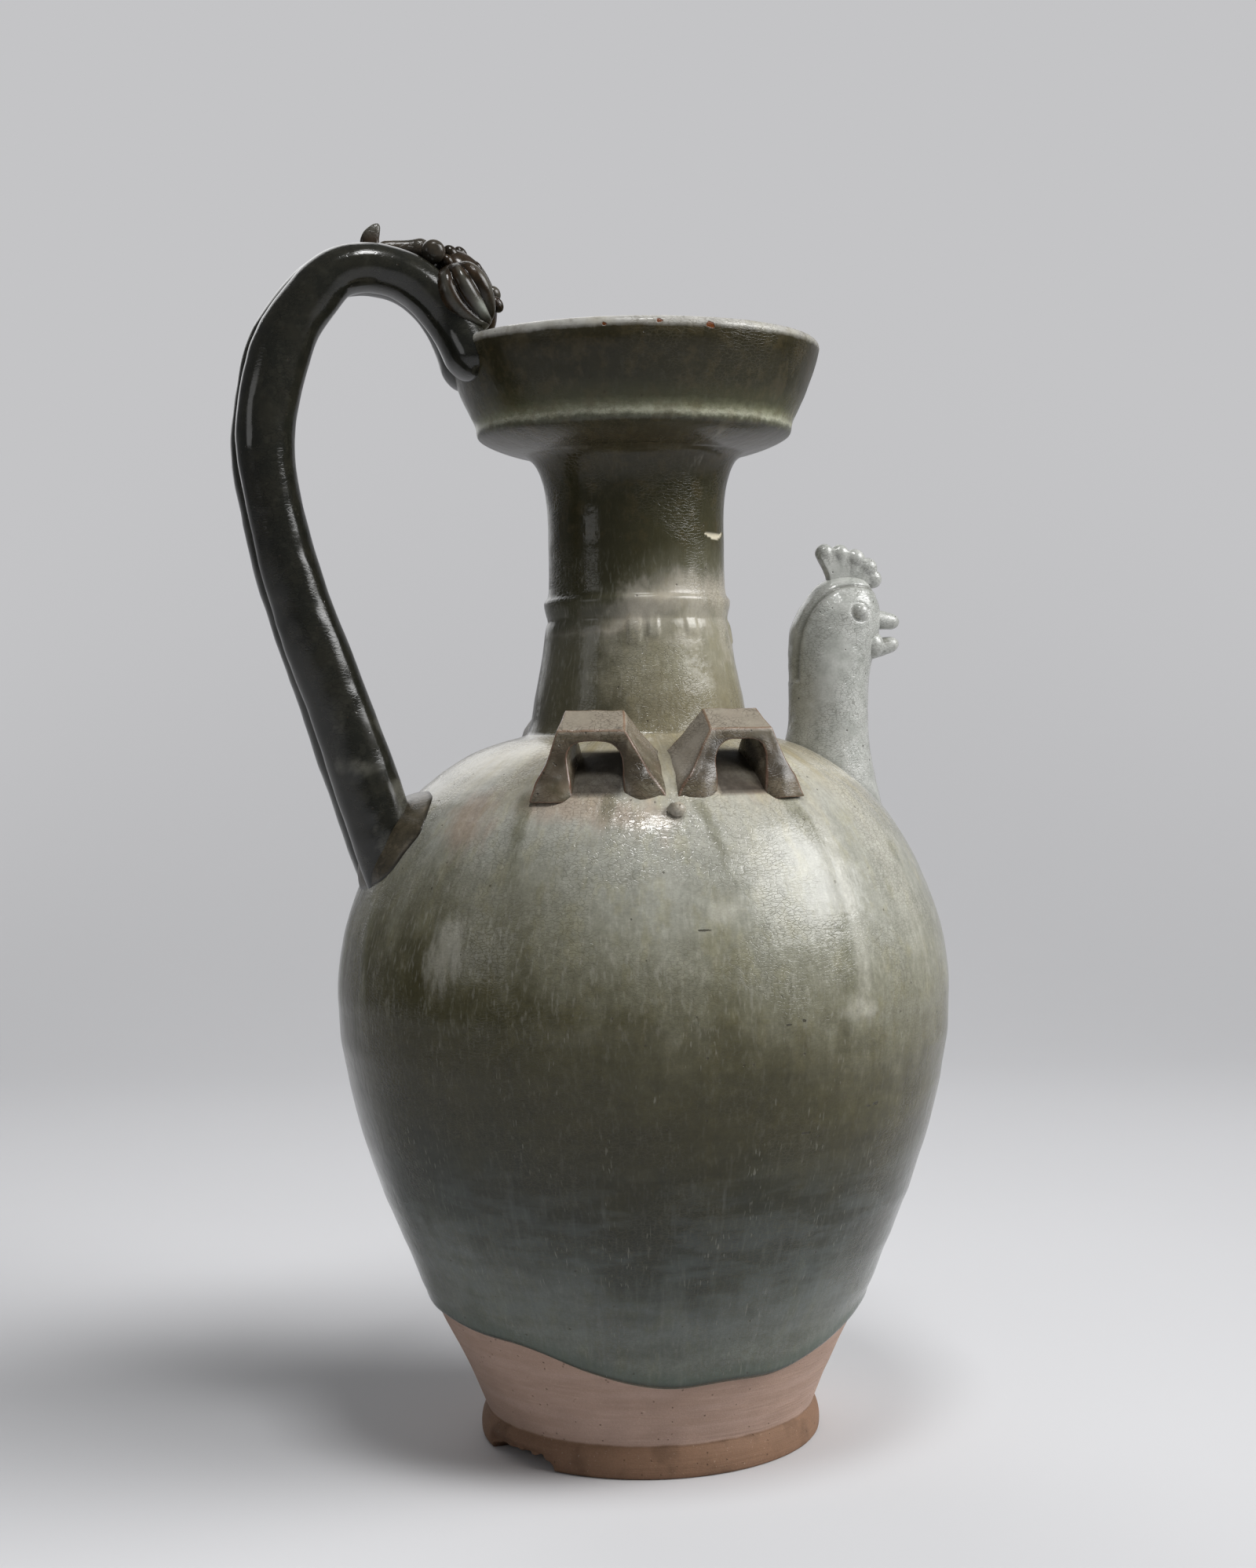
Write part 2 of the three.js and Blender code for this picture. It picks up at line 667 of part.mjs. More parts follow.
// Bridge lug: a tapered slab with an arched hole, whose base and top follow the shoulder's slope
function lug(middleAngle, side) {
  const slope = (shoulderAt(lugReach - lugBaseDepth / 2) - shoulderAt(lugReach + lugBaseDepth / 2))
    / lugBaseDepth;
  const growth = overrun / lugHeight;
  const ring = (rise) => {
    const width = lerp(lugBaseWidth, lugTopWidth, rise) / 2;
    const depth = lerp(lugBaseDepth, lugTopDepth, rise) / 2;
    const level = rise * lugHeight;
    const back = width * lugBackShare;
    const corners = [[-width, -depth], [width, -depth], [back, depth], [-back, depth]];
    return corners.map(([x, y]) => new THREE.Vector3(x + side * rise * lugLean, y, level + y * slope));
  };
  const slab = loft([ring(-growth), ring(1)]);
  const half = lugHoleWidth / 2;
  const arch = new THREE.Shape();
  arch.moveTo(-half, -lugHeight);
  arch.lineTo(half, -lugHeight);
  arch.lineTo(half, lugHoleHeight - lugHoleCorner);
  arch.quadraticCurveTo(half, lugHoleHeight, half - lugHoleCorner, lugHoleHeight);
  arch.lineTo(lugHoleCorner - half, lugHoleHeight);
  arch.quadraticCurveTo(-half, lugHoleHeight, -half, lugHoleHeight - lugHoleCorner);
  const passage = new THREE.ExtrudeGeometry(arch, {
    depth: lugBaseDepth + 2 * overrun, bevelEnabled: false, curveSegments: 4,
  });
  passage.translate(0, 0, -lugBaseDepth / 2 - overrun);
  passage.rotateX(degToRad(90));
  const place = passage.attributes.position;
  for (let i = 0; i < place.count; i += 1) place.setZ(i, place.getZ(i) + place.getY(i) * slope);
  const body = geometryOf(solid(slab).subtract(solid(passage)));
  body.rotateZ(degToRad(-side * lugToe));
  body.translate(0, -lugReach, shoulderAt(lugReach));
  body.rotateZ(degToRad(middleAngle + (side * lugSpread) / 2));
  return body;
}

// The thrown pieces
piece("foot_disc", footDisc(), bareClay);
piece("lower_body", lowerBody(), glaze);
piece("upper_body", upperBody(), glaze);
piece("neck_cone", neckPiece(coneOutline), glaze);
piece("neck_tube", neckPiece(tubeOutline), glaze);
piece("dish_mouth", dishMouth(), glaze);

// The handle, its pad and the dragon that bites the rim
const skin = skinSolid();
const sides = [["front", -1], ["back", 1]];
const rolls = sides.map(([, side]) => solid(handleRoll(side, seat)));
const against = (geometry) => solid(swollen(geometry, seat));
const pad = rootPad();
sides.forEach(([name, side]) => {
  piece(`handle_strand_${name}`, fitted(handleRoll(side, 0), [skin, against(pad)]), darkGlaze);
});
piece("handle_root_pad", fitted(pad, [skin]), darkGlaze);

const head = onDragon(egg(dragonLength, dragonWidth, dragonDepth, dragonTaperShare, ballSteps), [0, 0, 0]);
const headAndRolls = [skin, ...rolls, against(head)];
piece("dragon_head", fitted(head, [skin, ...rolls]), thinGlaze);
const cheeks = sides.map(([, side]) => cheek(side));
const eyes = sides.map(([, side]) => dragonEye(side));
sides.forEach(([name], i) => {
  piece(`dragon_cheek_${name}`, fitted(cheeks[i], headAndRolls), thinGlaze);
  piece(`dragon_eye_${name}`, fitted(eyes[i], [...headAndRolls, against(cheeks[i])]), thinGlaze);
});
const nose = onDragon(ball(dragonNoseRadius), dragonNoseShares);
piece("dragon_nose", fitted(nose, [against(head)]), thinGlaze);
const ridge = napeRidge();
piece("dragon_nape_ridge", fitted(ridge, [...headAndRolls, ...eyes.map(against)]), thinGlaze);
piece("dragon_crest", fitted(crest(), [...rolls, against(ridge)]), thinGlaze);

// The cockerel
const cock = cockBody();
piece("cock_neck", fitted(cock, [skin]), paleGlaze);
piece("cock_comb", fitted(comb(), [against(cock)]), paleGlaze);
sides.forEach(([name, side]) => {
  piece(`cock_eye_${name}`, fitted(cockEye(side), [against(cock)]), paleGlaze);
});
piece("cock_beak_upper", fitted(beakHalf(upperBeakShares, 0), [against(cock)]), paleGlaze);
piece("cock_beak_lower", fitted(beakHalf(lowerBeakShares, beakGape), [against(cock)]), paleGlaze);

// The bridge lugs, a pair on each side
[["front", 0, -1, 1], ["back", 180, 1, -1]].forEach(([name, angle, left, right]) => {
  piece(`lug_${name}_left`, fitted(lug(lugTurn + angle, left), [skin]), thinGlaze);
  piece(`lug_${name}_right`, fitted(lug(lugTurn + angle, right), [skin]), thinGlaze);
});

export default ewer;
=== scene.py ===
"""Celadon ewer with a cockerel's head, a double-roll dragon handle and bridge lugs, dressed for a studio view.

Lengths in the tables are millimetres in the part's own frame: +Z up, +X to the cockerel, -X to the handle,
-Y to the front. Angles round the vessel run from -Y (0) toward +X (90), in degrees. Colours are screen values.
"""

import math

import bmesh
import bpy
import numpy as np
from mathutils import Matrix, Vector


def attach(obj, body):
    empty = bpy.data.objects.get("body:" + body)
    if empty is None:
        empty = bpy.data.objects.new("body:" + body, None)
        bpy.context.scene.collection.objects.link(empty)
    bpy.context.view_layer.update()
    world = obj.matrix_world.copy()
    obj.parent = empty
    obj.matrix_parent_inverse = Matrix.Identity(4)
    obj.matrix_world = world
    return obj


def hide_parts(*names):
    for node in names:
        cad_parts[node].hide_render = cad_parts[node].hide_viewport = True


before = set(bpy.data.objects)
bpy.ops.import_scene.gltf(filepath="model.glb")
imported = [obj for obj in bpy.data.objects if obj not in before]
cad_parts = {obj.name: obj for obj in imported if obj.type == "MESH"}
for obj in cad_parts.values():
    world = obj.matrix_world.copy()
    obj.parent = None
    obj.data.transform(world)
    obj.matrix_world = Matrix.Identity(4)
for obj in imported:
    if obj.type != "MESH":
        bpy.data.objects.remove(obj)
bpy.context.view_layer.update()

MM = 0.001
COLUMNS = 360
RNG = np.random.default_rng(20)
LATTICE = RNG.random((32, 32, 32))


# Number helpers


def smooth(low, high, value):
    """Eased step from 0 at low to 1 at high."""
    share = np.clip((np.asarray(value, float) - low) / (high - low), 0, 1)
    return share * share * (3 - 2 * share)


def bell(value, middle, half):
    """1 at the middle, falling off to both sides over about the half width."""
    return np.exp(-(((value - middle) / half) ** 2))


def lattice_noise(points, size):
    """Smooth noise from -1 to 1 at points (..., 3), with features of about that size."""
    at = np.asarray(points, float) / size
    cell = np.floor(at).astype(int)
    part = at - cell
    part = part * part * (3 - 2 * part)
    total = 0
    for corner in np.ndindex(2, 2, 2):
        weight = np.prod(np.where(corner, part, 1 - part), axis=-1)
        total = total + weight * LATTICE[tuple(np.moveaxis((cell + corner) % 32, -1, 0))]
    return 2 * total - 1


def spline(knots, steps=12):
    """Smooth curve through knots of any dimension, with a number of steps between two knots."""
    k = np.asarray(knots, float)
    k = np.vstack([2 * k[0] - k[1], k, 2 * k[-1] - k[-2]])
    out = []
    for i in range(1, len(k) - 2):
        p0, p1, p2, p3 = k[i - 1 : i + 3]
        d0, d1, d2 = (max(np.linalg.norm(b - a), 1e-6) ** 0.5 for a, b in ((p0, p1), (p1, p2), (p2, p3)))
        m1 = ((p1 - p0) / d0 - (p2 - p0) / (d0 + d1) + (p2 - p1) / d1) * d1
        m2 = ((p2 - p1) / d1 - (p3 - p1) / (d1 + d2) + (p3 - p2) / d2) * d1
        for t in np.arange(steps) / steps:
            ends = (2 * t**3 - 3 * t**2 + 1) * p1 + (t**3 - 2 * t**2 + t) * m1
            out.append(ends + (-2 * t**3 + 3 * t**2) * p2 + (t**3 - t**2) * m2)
    out.append(k[-2])
    return np.array(out)


def spaced(line, spacing):
    """The same line with points about one spacing apart."""
    line = np.asarray(line, float)
    along = np.concatenate([[0], np.cumsum(np.linalg.norm(np.diff(line, axis=0), axis=1))])
    at = np.linspace(0, along[-1], max(2, int(round(along[-1] / spacing)) + 1))
    return np.stack([np.interp(at, along, line[:, i]) for i in range(line.shape[1])], 1)


def eased(stations, share):
    """Reads a table of [share, value] stations, eased between them."""
    xs, ys = zip(*stations)
    i = np.clip(np.searchsorted(xs, share), 1, len(xs) - 1)
    x0, x1, y0, y1 = np.take(xs, i - 1), np.take(xs, i), np.take(ys, i - 1), np.take(ys, i)
    return y0 + (y1 - y0) * smooth(0, 1, (share - x0) / (x1 - x0))


def turned_from(angle, at):
    """Angles as turns of -180 to 180 degrees from one of them."""
    return (angle - at + 180) % 360 - 180


def circle(count):
    """Angles round a circle, in radians."""
    return np.arange(count) * 2 * math.pi / count


def unit(vectors, least=1e-9):
    """Vectors of length 1, or 0 where there is none."""
    return vectors / (np.linalg.norm(vectors, axis=-1, keepdims=True) + least)


def srgb(red, green, blue):
    """A screen colour, 0 to 255, as the linear values a shader takes."""
    values = [c / 255 for c in (red, green, blue)]
    return [c / 12.92 if c <= 0.04045 else ((c + 0.055) / 1.055) ** 2.4 for c in values] + [1.0]


# Mesh helpers


def set_values(mesh, values):
    """Gives the mesh's points the numbers that its glaze reads."""
    for key, value in values.items():
        layer = mesh.attributes.get(key) or mesh.attributes.new(key, "FLOAT", "POINT")
        layer.data.foreach_set("value", np.full(len(mesh.vertices), value, np.float32))


def make_piece(name, points, faces, materials, slot, values, normals=None, kinds=None):
    """A piece from points in millimetres, riding on the body and standing for the CAD node of its name."""
    mesh = bpy.data.meshes.new(name)
    mesh.from_pydata((np.asarray(points) * MM).tolist(), [], faces)
    for material in materials:
        mesh.materials.append(material)
    mesh.shade_smooth()
    if kinds is not None:
        mesh.polygons.foreach_set("material_index", kinds)
    set_values(mesh, values)
    mesh.update()
    if normals is not None:
        mesh.normals_split_custom_set_from_vertices(normals.tolist())
    piece = bpy.data.objects.new(name, mesh)
    bpy.context.scene.collection.objects.link(piece)
    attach(piece, "root")
    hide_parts(name)
    return piece


def applied(name, loft, glaze, slot, ridge=0.0, pool=0.0):
    """A piece of applied clay. Its glaze is pale on ridges, for thin glaze and on the dragon also a painted
    highlight, and dark where glaze pools and, on the lugs, where shade is painted.
    """
    return make_piece(name, *loft, [glaze], slot, {"ridge": ridge, "pool": pool})


def ring_faces(rows, columns):
    """Quads between rings of points that follow one another."""
    a = np.arange(rows - 1)[:, None] * columns + np.arange(columns)
    b = np.arange(rows - 1)[:, None] * columns + (np.arange(columns) + 1) % columns
    return np.stack([a, b, b + columns, a + columns], -1).reshape(-1, 4).tolist()


def capped_faces(rows, columns):
    """The same with a fan over each end: the two middle points come after the rings."""
    faces, last, low = ring_faces(rows, columns), (rows - 1) * columns, rows * columns
    for i in range(columns):
        j = (i + 1) % columns
        faces += [[low, j, i], [low + 1, last + i, last + j]]
    return faces


def closed_loft(rings):
    """Points and faces of a loft with closed ends. Rings turn counter-clockwise about its run."""
    rings = np.asarray(rings, float)
    points = np.vstack([rings.reshape(-1, 3), rings[0].mean(0), rings[-1].mean(0)])
    return points, capped_faces(*rings.shape[:2])


def ball_grid(rows, columns):
    """Directions of a ball's grid with its poles on X, in rings from -X to +X."""
    lat, lon = np.linspace(0, math.pi, rows + 2)[1:-1, None], circle(columns)
    return np.stack([-np.cos(lat) * np.ones(columns), np.sin(lat) * np.cos(lon), np.sin(lat) * np.sin(lon)], -1)


def joined(parts):
    """Several point and face lists as one."""
    faces, start = [], 0
    for part_points, part_faces in parts:
        faces += [[i + start for i in f] for f in part_faces]
        start += len(part_points)
    return np.vstack([points for points, _ in parts]), faces


def swollen(rings, lift):
    """Rings of points moved out from their own middles."""
    return rings + unit(rings - rings.mean(1, keepdims=True)) * lift[..., None]


def rows_to_points(rings, value):
    """A value by ring and column as one by point, with nothing at the two middle points."""
    return np.append(np.broadcast_to(value, rings).ravel(), [0, 0])


def fused(piece, voxel, smoothing):
    """Skins a piece's overlapping forms as one, and softens the joins."""
    remesh = piece.modifiers.new("skin", "REMESH")
    remesh.mode, remesh.voxel_size, remesh.use_smooth_shade = "VOXEL", voxel * MM, True
    soften = piece.modifiers.new("soften", "SMOOTH")
    soften.factor, soften.iterations = 0.5, smoothing
    bpy.context.view_layer.update()
    graph = bpy.context.evaluated_depsgraph_get()
    mesh = bpy.data.meshes.new_from_object(piece.evaluated_get(graph))
    mesh.shade_smooth()
    piece.modifiers.clear()
    old, piece.data = piece.data, mesh
    bpy.data.meshes.remove(old)


# Materials


class Paint:
    """A node material with short calls for its nodes. Places are in millimetres."""

    def __init__(self, name):
        self.material = bpy.data.materials.new(name)
        self.material.use_nodes = True
        self.tree = self.material.node_tree
        self.tree.nodes.clear()
        self.shader = self.node("BsdfPrincipled")
        self.output = self.node("OutputMaterial", self.shader.outputs[0])
        self.place = self.vector("SCALE", self.node("TexCoord").outputs["Object"], scale=1 / MM)
        self.x, self.y, self.z = self.node("SeparateXYZ", self.place).outputs
        self.ring = self.vector("NORMALIZE", self.combine(self.x, self.y, 0))
        self.colour = None

    def put(self, socket, value):
        if isinstance(value, bpy.types.NodeSocket):
            self.tree.links.new(value, socket)
        elif value is not None:
            socket.default_value = value

    def node(self, kind, *values, **settings):
        """A node with its settings made and its first sockets fed."""
        node = self.tree.nodes.new("ShaderNode" + kind)
        for key, setting in settings.items():
            setattr(node, key, setting)
        for socket, value in zip(node.inputs, values):
            self.put(socket, value)
        return node

    def math(self, operation, a, b, c=0.0):
        return self.node("Math", a, b, c, operation=operation).outputs[0]

    def mul(self, result, *factors):
        for factor in factors:
            result = self.math("MULTIPLY", result, factor)
        return result

    def add(self, result, *terms):
        for term in terms:
            result = self.math("ADD", result, term)
        return result

    def swing(self, value, amount):
        """A noise value as a shift to both sides of 0."""
        return self.mul(self.math("SUBTRACT", value, 0.5), amount)

    def wave(self, value, amount):
        """A noise value as a factor about 1."""
        return self.math("MULTIPLY_ADD", self.math("SUBTRACT", value, 0.5), amount, 1.0)

    def vector(self, operation, a, b=None, scale=None):
        node = self.node("VectorMath", a, b, operation=operation)
        if scale is not None:
            self.put(node.inputs["Scale"], scale)
        return node.outputs["Value" if operation == "LENGTH" else "Vector"]

    def combine(self, x, y, z):
        return self.node("CombineXYZ", x, y, z).outputs[0]

    def around(self, radius, stretch):
        """Places rolled on a ring of that radius, with heights shortened, for runs down the wall."""
        return self.vector("ADD", self.vector("SCALE", self.ring, scale=radius),
                           self.combine(0, 0, self.mul(self.z, stretch)))

    def squeezed(self, share):
        """Places with the two level directions shortened, for marks of the turning."""
        return self.vector("MULTIPLY", self.place, (share, share, 1.0))

    def noise(self, size, vector=None, detail=3.0, rough=0.55):
        node = self.node("TexNoise", vector or self.place)
        for key, value in (("Scale", 1 / size), ("Detail", detail), ("Roughness", rough)):
            node.inputs[key].default_value = value
        return node.outputs[0]

    def cells(self, size, vector=None, feature="DISTANCE_TO_EDGE"):
        node = self.node("TexVoronoi", vector or self.place, feature=feature)
        node.inputs["Scale"].default_value = 1 / size
        return node.outputs[0]

    def span(self, value, low, high, to_low=0.0, to_high=1.0):
        """Eased map of a value from one span to another, held at the ends."""
        values = (value, low, high, to_low, to_high)
        return self.node("MapRange", *values, interpolation_type="SMOOTHSTEP").outputs[0]

    def band(self, value, rise, fall):
        """1 between two slopes, each given as the values where it is 0 and 1."""
        return self.mul(self.span(value, *rise), self.span(value, *fall))

    def specks(self, size, solid, faded):
        """1 in small dots, one to a cell of that size."""
        return self.span(self.cells(size, feature="F1"), solid, faded, 1.0, 0.0)

    def mix(self, share, a, b):
        node = self.node("Mix", share, data_type="RGBA")
        self.put(node.inputs[6], a)
        self.put(node.inputs[7], b)
        return node.outputs[2]

    def ramp(self, value, stops):
        """Colours by height."""
        node = self.node("ValToRGB", self.math("DIVIDE", value, HIGHEST))
        places = node.color_ramp.elements
        while len(places) < len(stops):
            places.new(1.0)
        for place, (height, _) in zip(places, stops):
            place.position = height / HIGHEST
        for place, (_, colour) in zip(places, stops):
            place.color = srgb(*colour)
        return node.outputs[0]

    def value(self, name):
        return self.node("Attribute", attribute_name=name).outputs["Fac"]

    def dim(self, factor):
        self.colour = self.vector("SCALE", self.colour, scale=factor)

    def lay(self, share, tint, factor=None):
        """Lays a colour, where given dimmed by a factor, over what is painted so far."""
        colour = srgb(*tint)
        if factor is not None:
            colour = self.vector("SCALE", colour[:3], scale=factor)
        self.colour = self.mix(share, self.colour, colour)

    def crackle(self, size, where):
        """Thin lines of a crackle that runs more across than down."""
        shift = self.noise(size * 1.2, detail=1.0)
        bent = self.vector("ADD", self.place, self.combine(self.mul(shift, size * 0.8), shift, shift))
        cells = self.cells(size, self.vector("MULTIPLY", bent, (1.0, 1.0, 2.3)))
        return self.mul(self.span(cells, 0.0, 0.11, 1.0, 0.0), where)

    def spot(self, angle, radius, level, wide, high):
        """1 inside a small mark on the wall at an angle round the vessel, 0 outside."""
        a = math.radians(angle)
        gap = self.vector("SUBTRACT", self.place, (radius * math.sin(a), -radius * math.cos(a), level))
        gap = self.vector("MULTIPLY", gap, (1 / wide, 1 / wide, 1 / high))
        reach = self.add(self.vector("LENGTH", gap), self.mul(self.noise(1.1), 1.6))
        return self.span(reach, 1.5, 1.9, 1.0, 0.0)

    def finish(self, rough, height, bump=1.0, gloss=0.5):
        for key, value in (("Base Color", self.colour), ("Roughness", rough), ("Specular IOR Level", gloss)):
            self.put(self.shader.inputs[key], value)
        node = self.node("Bump")
        for key, value in (("Distance", MM), ("Strength", bump), ("Height", height)):
            self.put(node.inputs[key], value)
        self.put(self.shader.inputs["Normal"], node.outputs[0])
        return self.material


# Colours of the glaze by height
HIGHEST = 400.0
BODY_STOPS = [
    (28, (88, 93, 83)), (44, (98, 102, 94)), (58, (92, 96, 90)), (72, (62, 66, 59)), (86, (50, 52, 43)),
    (98, (49, 49, 35)), (112, (55, 53, 35)), (126, (60, 57, 37)), (140, (68, 65, 43)), (152, (84, 81, 61)),
    (166, (112, 110, 92)), (184, (136, 135, 120)), (204, (154, 154, 143)), (222, (168, 167, 157)),
    (238, (172, 167, 150)), (249, (150, 142, 120)),
]
NECK_STOPS = [
    (249, (150, 142, 120)), (253, (122, 115, 94)), (262, (130, 124, 103)), (276, (140, 136, 117)),
    (289, (146, 142, 126)), (297, (176, 169, 154)), (304, (122, 119, 105)), (308, (94, 92, 75)), (316, (66, 64, 46)),
    (338, (52, 50, 34)), (349, (60, 55, 40)), (352, (68, 62, 48)), (355.6, (58, 55, 42)), (356.7, (44, 43, 30)),
    (357.7, (60, 61, 44)), (358.3, (170, 171, 150)), (359.9, (174, 174, 154)), (361.1, (118, 119, 94)),
    (363.4, (68, 68, 44)), (370, (46, 44, 26)), (383, (45, 41, 25)), (386.0, (54, 50, 35)), (386.9, (160, 158, 150)),
    (391, (190, 188, 184)),
]
# Scars in the glaze: angle, radius, height, half width and half height
BODY_MARKS = [
    (-3.3, 105.4, 188.4, 2.4, 0.34), (10.7, 110.0, 157.6, 1.5, 0.3), (13.6, 110.0, 158.4, 0.8, 0.6),
    (31.3, 106.5, 127.8, 1.5, 0.5), (29.4, 106.5, 127.4, 0.9, 0.3), (15.1, 105.0, 121.6, 1.9, 0.4),
    (-61.0, 106.0, 132.0, 1.4, 0.3), (140.0, 103.0, 194.0, 2.2, 0.34), (-110.0, 108.0, 141.0, 1.4, 0.5),
]
NECK_MARKS = [
    (8.9, 67.2, 386.8, 1.5, 1.2), (-6.3, 67.2, 387.8, 1.0, 0.8), (-22.0, 67.0, 387.0, 0.9, 0.8),
    (151.0, 67.0, 387.0, 1.2, 1.0),
]
# Soft strokes that the mesh carries: value, colour, strength and the size of their ragged border
STROKE_TINTS = [
    ("pink", (172, 150, 132), 0.55, 5.0), ("pale", (182, 180, 168), 0.5, 3.0), ("olive", (106, 105, 84), 0.62, 3.0),
]


def glaze_paint(name, stops, marks_listed, belly):
    """The vessel's glaze: colour by height with runs, mottling, crackle, pits and pale dashes."""
    p = Paint(name)
    radius = 100.0 if belly else 38.0

    def run(size, stretch, detail=3.0, rough=0.55):
        """Noise drawn out down the wall."""
        return p.noise(size, p.around(radius, stretch), detail, rough)

    runs, wide_runs, fine = run(3.4, 0.12), run(15.0, 0.26), run(1.0, 1.9, rough=0.65)
    grain = run(1.9, 0.8, 4.0, 0.7)
    mottle = p.noise(8.0, detail=6.0, rough=0.62)
    bands = p.noise(6.5, p.around(24.0, 1.0), 4.0, 0.62)
    amounts = (34, 20, 7) if belly else (14, 16, 3)
    shift = p.add(*(p.swing(noise, amount) for noise, amount in zip((wide_runs, mottle, runs), amounts)))
    level = p.add(p.z, p.mul(shift, p.span(p.z, 349.0, 354.0, 1.0, 0.07)))
    if belly:
        # Painted shade: on the handle's side, away from the key lamp, the darker colours reach higher; on the
        # cockerel's side the paler colours reach further down
        level = p.add(
            level, p.mul(p.span(p.x, -92.0, -22.0, -24.0, 0.0), p.span(p.z, 232.0, 202.0)),
            p.mul(p.span(p.x, 2.0, 58.0, 0.0, 13.0), p.band(p.z, (94.0, 130.0), (216.0, 184.0))),
        )
    else:
        # The dark glaze hangs lower on the handle's side of the neck, which also paints in shade on that side, away
        # from the key lamp, and the line at the turn is ragged
        lean = p.span(p.add(p.x, p.swing(mottle, 16.0)), -52.0, 16.0, 25.0, -2.0)
        turn = p.band(p.z, (352.0, 356.0), (370.0, 382.0, 3.2, 1.1))
        level = p.add(
            level, p.mul(lean, p.band(p.z, (281.0, 288.0), (340.0, 316.0))),
            p.swing(p.noise(2.4, detail=4.0, rough=0.7), turn),
        )
    p.colour = p.ramp(level, stops)
    fine_share, runs_share, grain_share, warm_share = (0.5, 0.16, 0.62, 0.4) if belly else (0.26, 0.1, 0.3, 0.25)
    factor = p.mul(
        p.wave(mottle, 0.44), p.wave(fine, fine_share), p.wave(runs, runs_share), p.wave(grain, grain_share)
    )
    if belly:
        factor = p.mul(factor, p.wave(bands, p.mul(p.span(p.z, 168.0, 120.0), 1.1)))
    p.dim(factor)
    warm = p.span(run(6.5, 0.6, 4.0, 0.65), 0.48, 0.66, 0.0, warm_share)
    p.colour = p.mix(warm, p.colour, p.vector("MULTIPLY", p.colour, (1.04, 0.99, 0.78)))
    if not belly:
        # Cream glaze that gathered at the rib and ran on from it, and brown clouds in the dark glaze above
        gathered = p.add(
            run(11.0, 0.75, 4.0), p.span(p.x, -34.0, -8.0, -0.22, 0.0),
            p.span(p.z, 262.0, 296.0, -0.2, 0.1), p.span(p.z, 297.0, 313.0, 0.0, -0.26),
        )
        p.lay(p.span(gathered, 0.46, 0.62, 0.0, 0.4), (186, 180, 166), factor)
        # Painted shade: darker olive on the handle's side of the cone, below the rib, away from the key lamp
        painted_far_shade = p.span(p.add(p.x, p.swing(p.noise(8.0, detail=4.0), 26.0)), -10.0, -26.0, 0.0, 0.75)
        p.lay(p.mul(painted_far_shade, p.span(p.z, 300.0, 292.0)), (76, 75, 60), factor)
        cloud = p.span(p.noise(6.0, detail=5.0, rough=0.65), 0.46, 0.66)
        p.lay(p.mul(cloud, p.span(p.z, 308.0, 322.0, 0.0, 0.35)), (84, 74, 50), factor)
    for key, tint, strength, size in STROKE_TINTS:
        mask = p.span(p.add(p.value(key), p.swing(run(size, 0.3), 1.1)), 0.15, 1.0, 0.0, strength)
        p.lay(p.mul(mask, p.span(p.value(key), 0.0, 0.3)), tint, factor)
    p.lay(p.value("inner"), (118, 117, 100), factor)
    # Pale dashes that ran down in the glaze, and on the belly the blue bloom above the glaze's lower edge
    dash = p.mul(p.span(run(0.62, 0.2, 0.0), 0.71, 0.8), p.span(run(13.0, 0.5, 2.0), 0.46, 0.62))
    if belly:
        dash = p.mul(dash, p.span(p.z, 190.0, 156.0, 0.2, 1.0))
        blue = p.mul(p.band(p.z, (122.0, 84.0), (40.0, 62.0)), p.span(bands, 0.44, 0.62))
        p.lay(p.mul(blue, 0.3), (88, 95, 96))
        p.lay(p.mul(p.span(p.z, 132.0, 90.0), p.span(runs, 0.56, 0.72), 0.12), (128, 132, 130))
        for far, near, share, tint in (
            (9.0, 2.6, 0.5, (70, 82, 74)), (3.2, 1.1, 0.9, (42, 50, 42)), (0.8, 0.2, 0.55, (92, 104, 92)),
        ):
            p.lay(p.span(p.value("edge"), far, near, 0.0, share), tint)
    else:
        dash = p.mul(dash, p.span(p.z, 300.0, 330.0, 0.3, 0.05))
    p.lay(p.mul(dash, 0.28), (160, 158, 146))
    lines = p.crackle(2.2, p.span(p.noise(26.0, detail=1.0), 0.38, 0.6))
    p.lay(p.mul(lines, 0.36), (84, 80, 64))
    specks = p.specks(7.5, 0.04, 0.07)
    p.lay(p.mul(specks, 0.6), (58, 52, 42))
    milky = p.span(p.z, 140.0, 178.0, 0.04, 0.2) if belly else p.span(p.z, 316.0, 304.0, 0.02, 0.16)
    p.lay(p.mul(p.span(run(1.3, 0.3), 0.5, 0.75), milky), (198, 196, 184))
    # On the belly this value paints the shoulder under the lugs' arches dark, partly bare ground and partly painted
    # shade; on the neck it is the chip in the glaze
    bare = p.value("bare")
    if belly:
        p.lay(p.mul(bare, p.span(mottle, 0.3, 0.6, 0.82, 0.97)), (46, 38, 29), p.wave(fine, 0.6))
    marks = p.spot(*marks_listed[0])
    for mark in marks_listed[1:]:
        marks = p.math("MAXIMUM", marks, p.spot(*mark))
    rough = p.math("MULTIPLY_ADD", mottle, 0.14, 0.07)
    if belly:
        p.lay(p.mul(marks, 0.75), (52, 48, 38))
        rough = p.math("MAXIMUM", rough, p.mul(bare, 0.5))
    else:
        p.lay(p.mul(marks, 0.95), (104, 52, 8))
        p.lay(bare, (206, 198, 176), p.wave(fine, 0.5))
        rough = p.add(rough, p.span(p.z, 346.0, 357.0, 0.0, 0.1))
        rough = p.math("MAXIMUM", rough, p.mul(bare, 0.85))
    height = p.add(*(p.mul(value, amount) for value, amount in (
        (p.noise(1.5, detail=2.0), 0.04 if belly else 0.02), (p.noise(5.5, detail=2.0), 0.16), (runs, 0.08),
        (bands, 0.2 if belly else 0.12), (lines, -0.035), (specks, -0.1), (marks, -0.25),
    )))
    return p.finish(rough, height, gloss=0.34 if belly else 0.3)


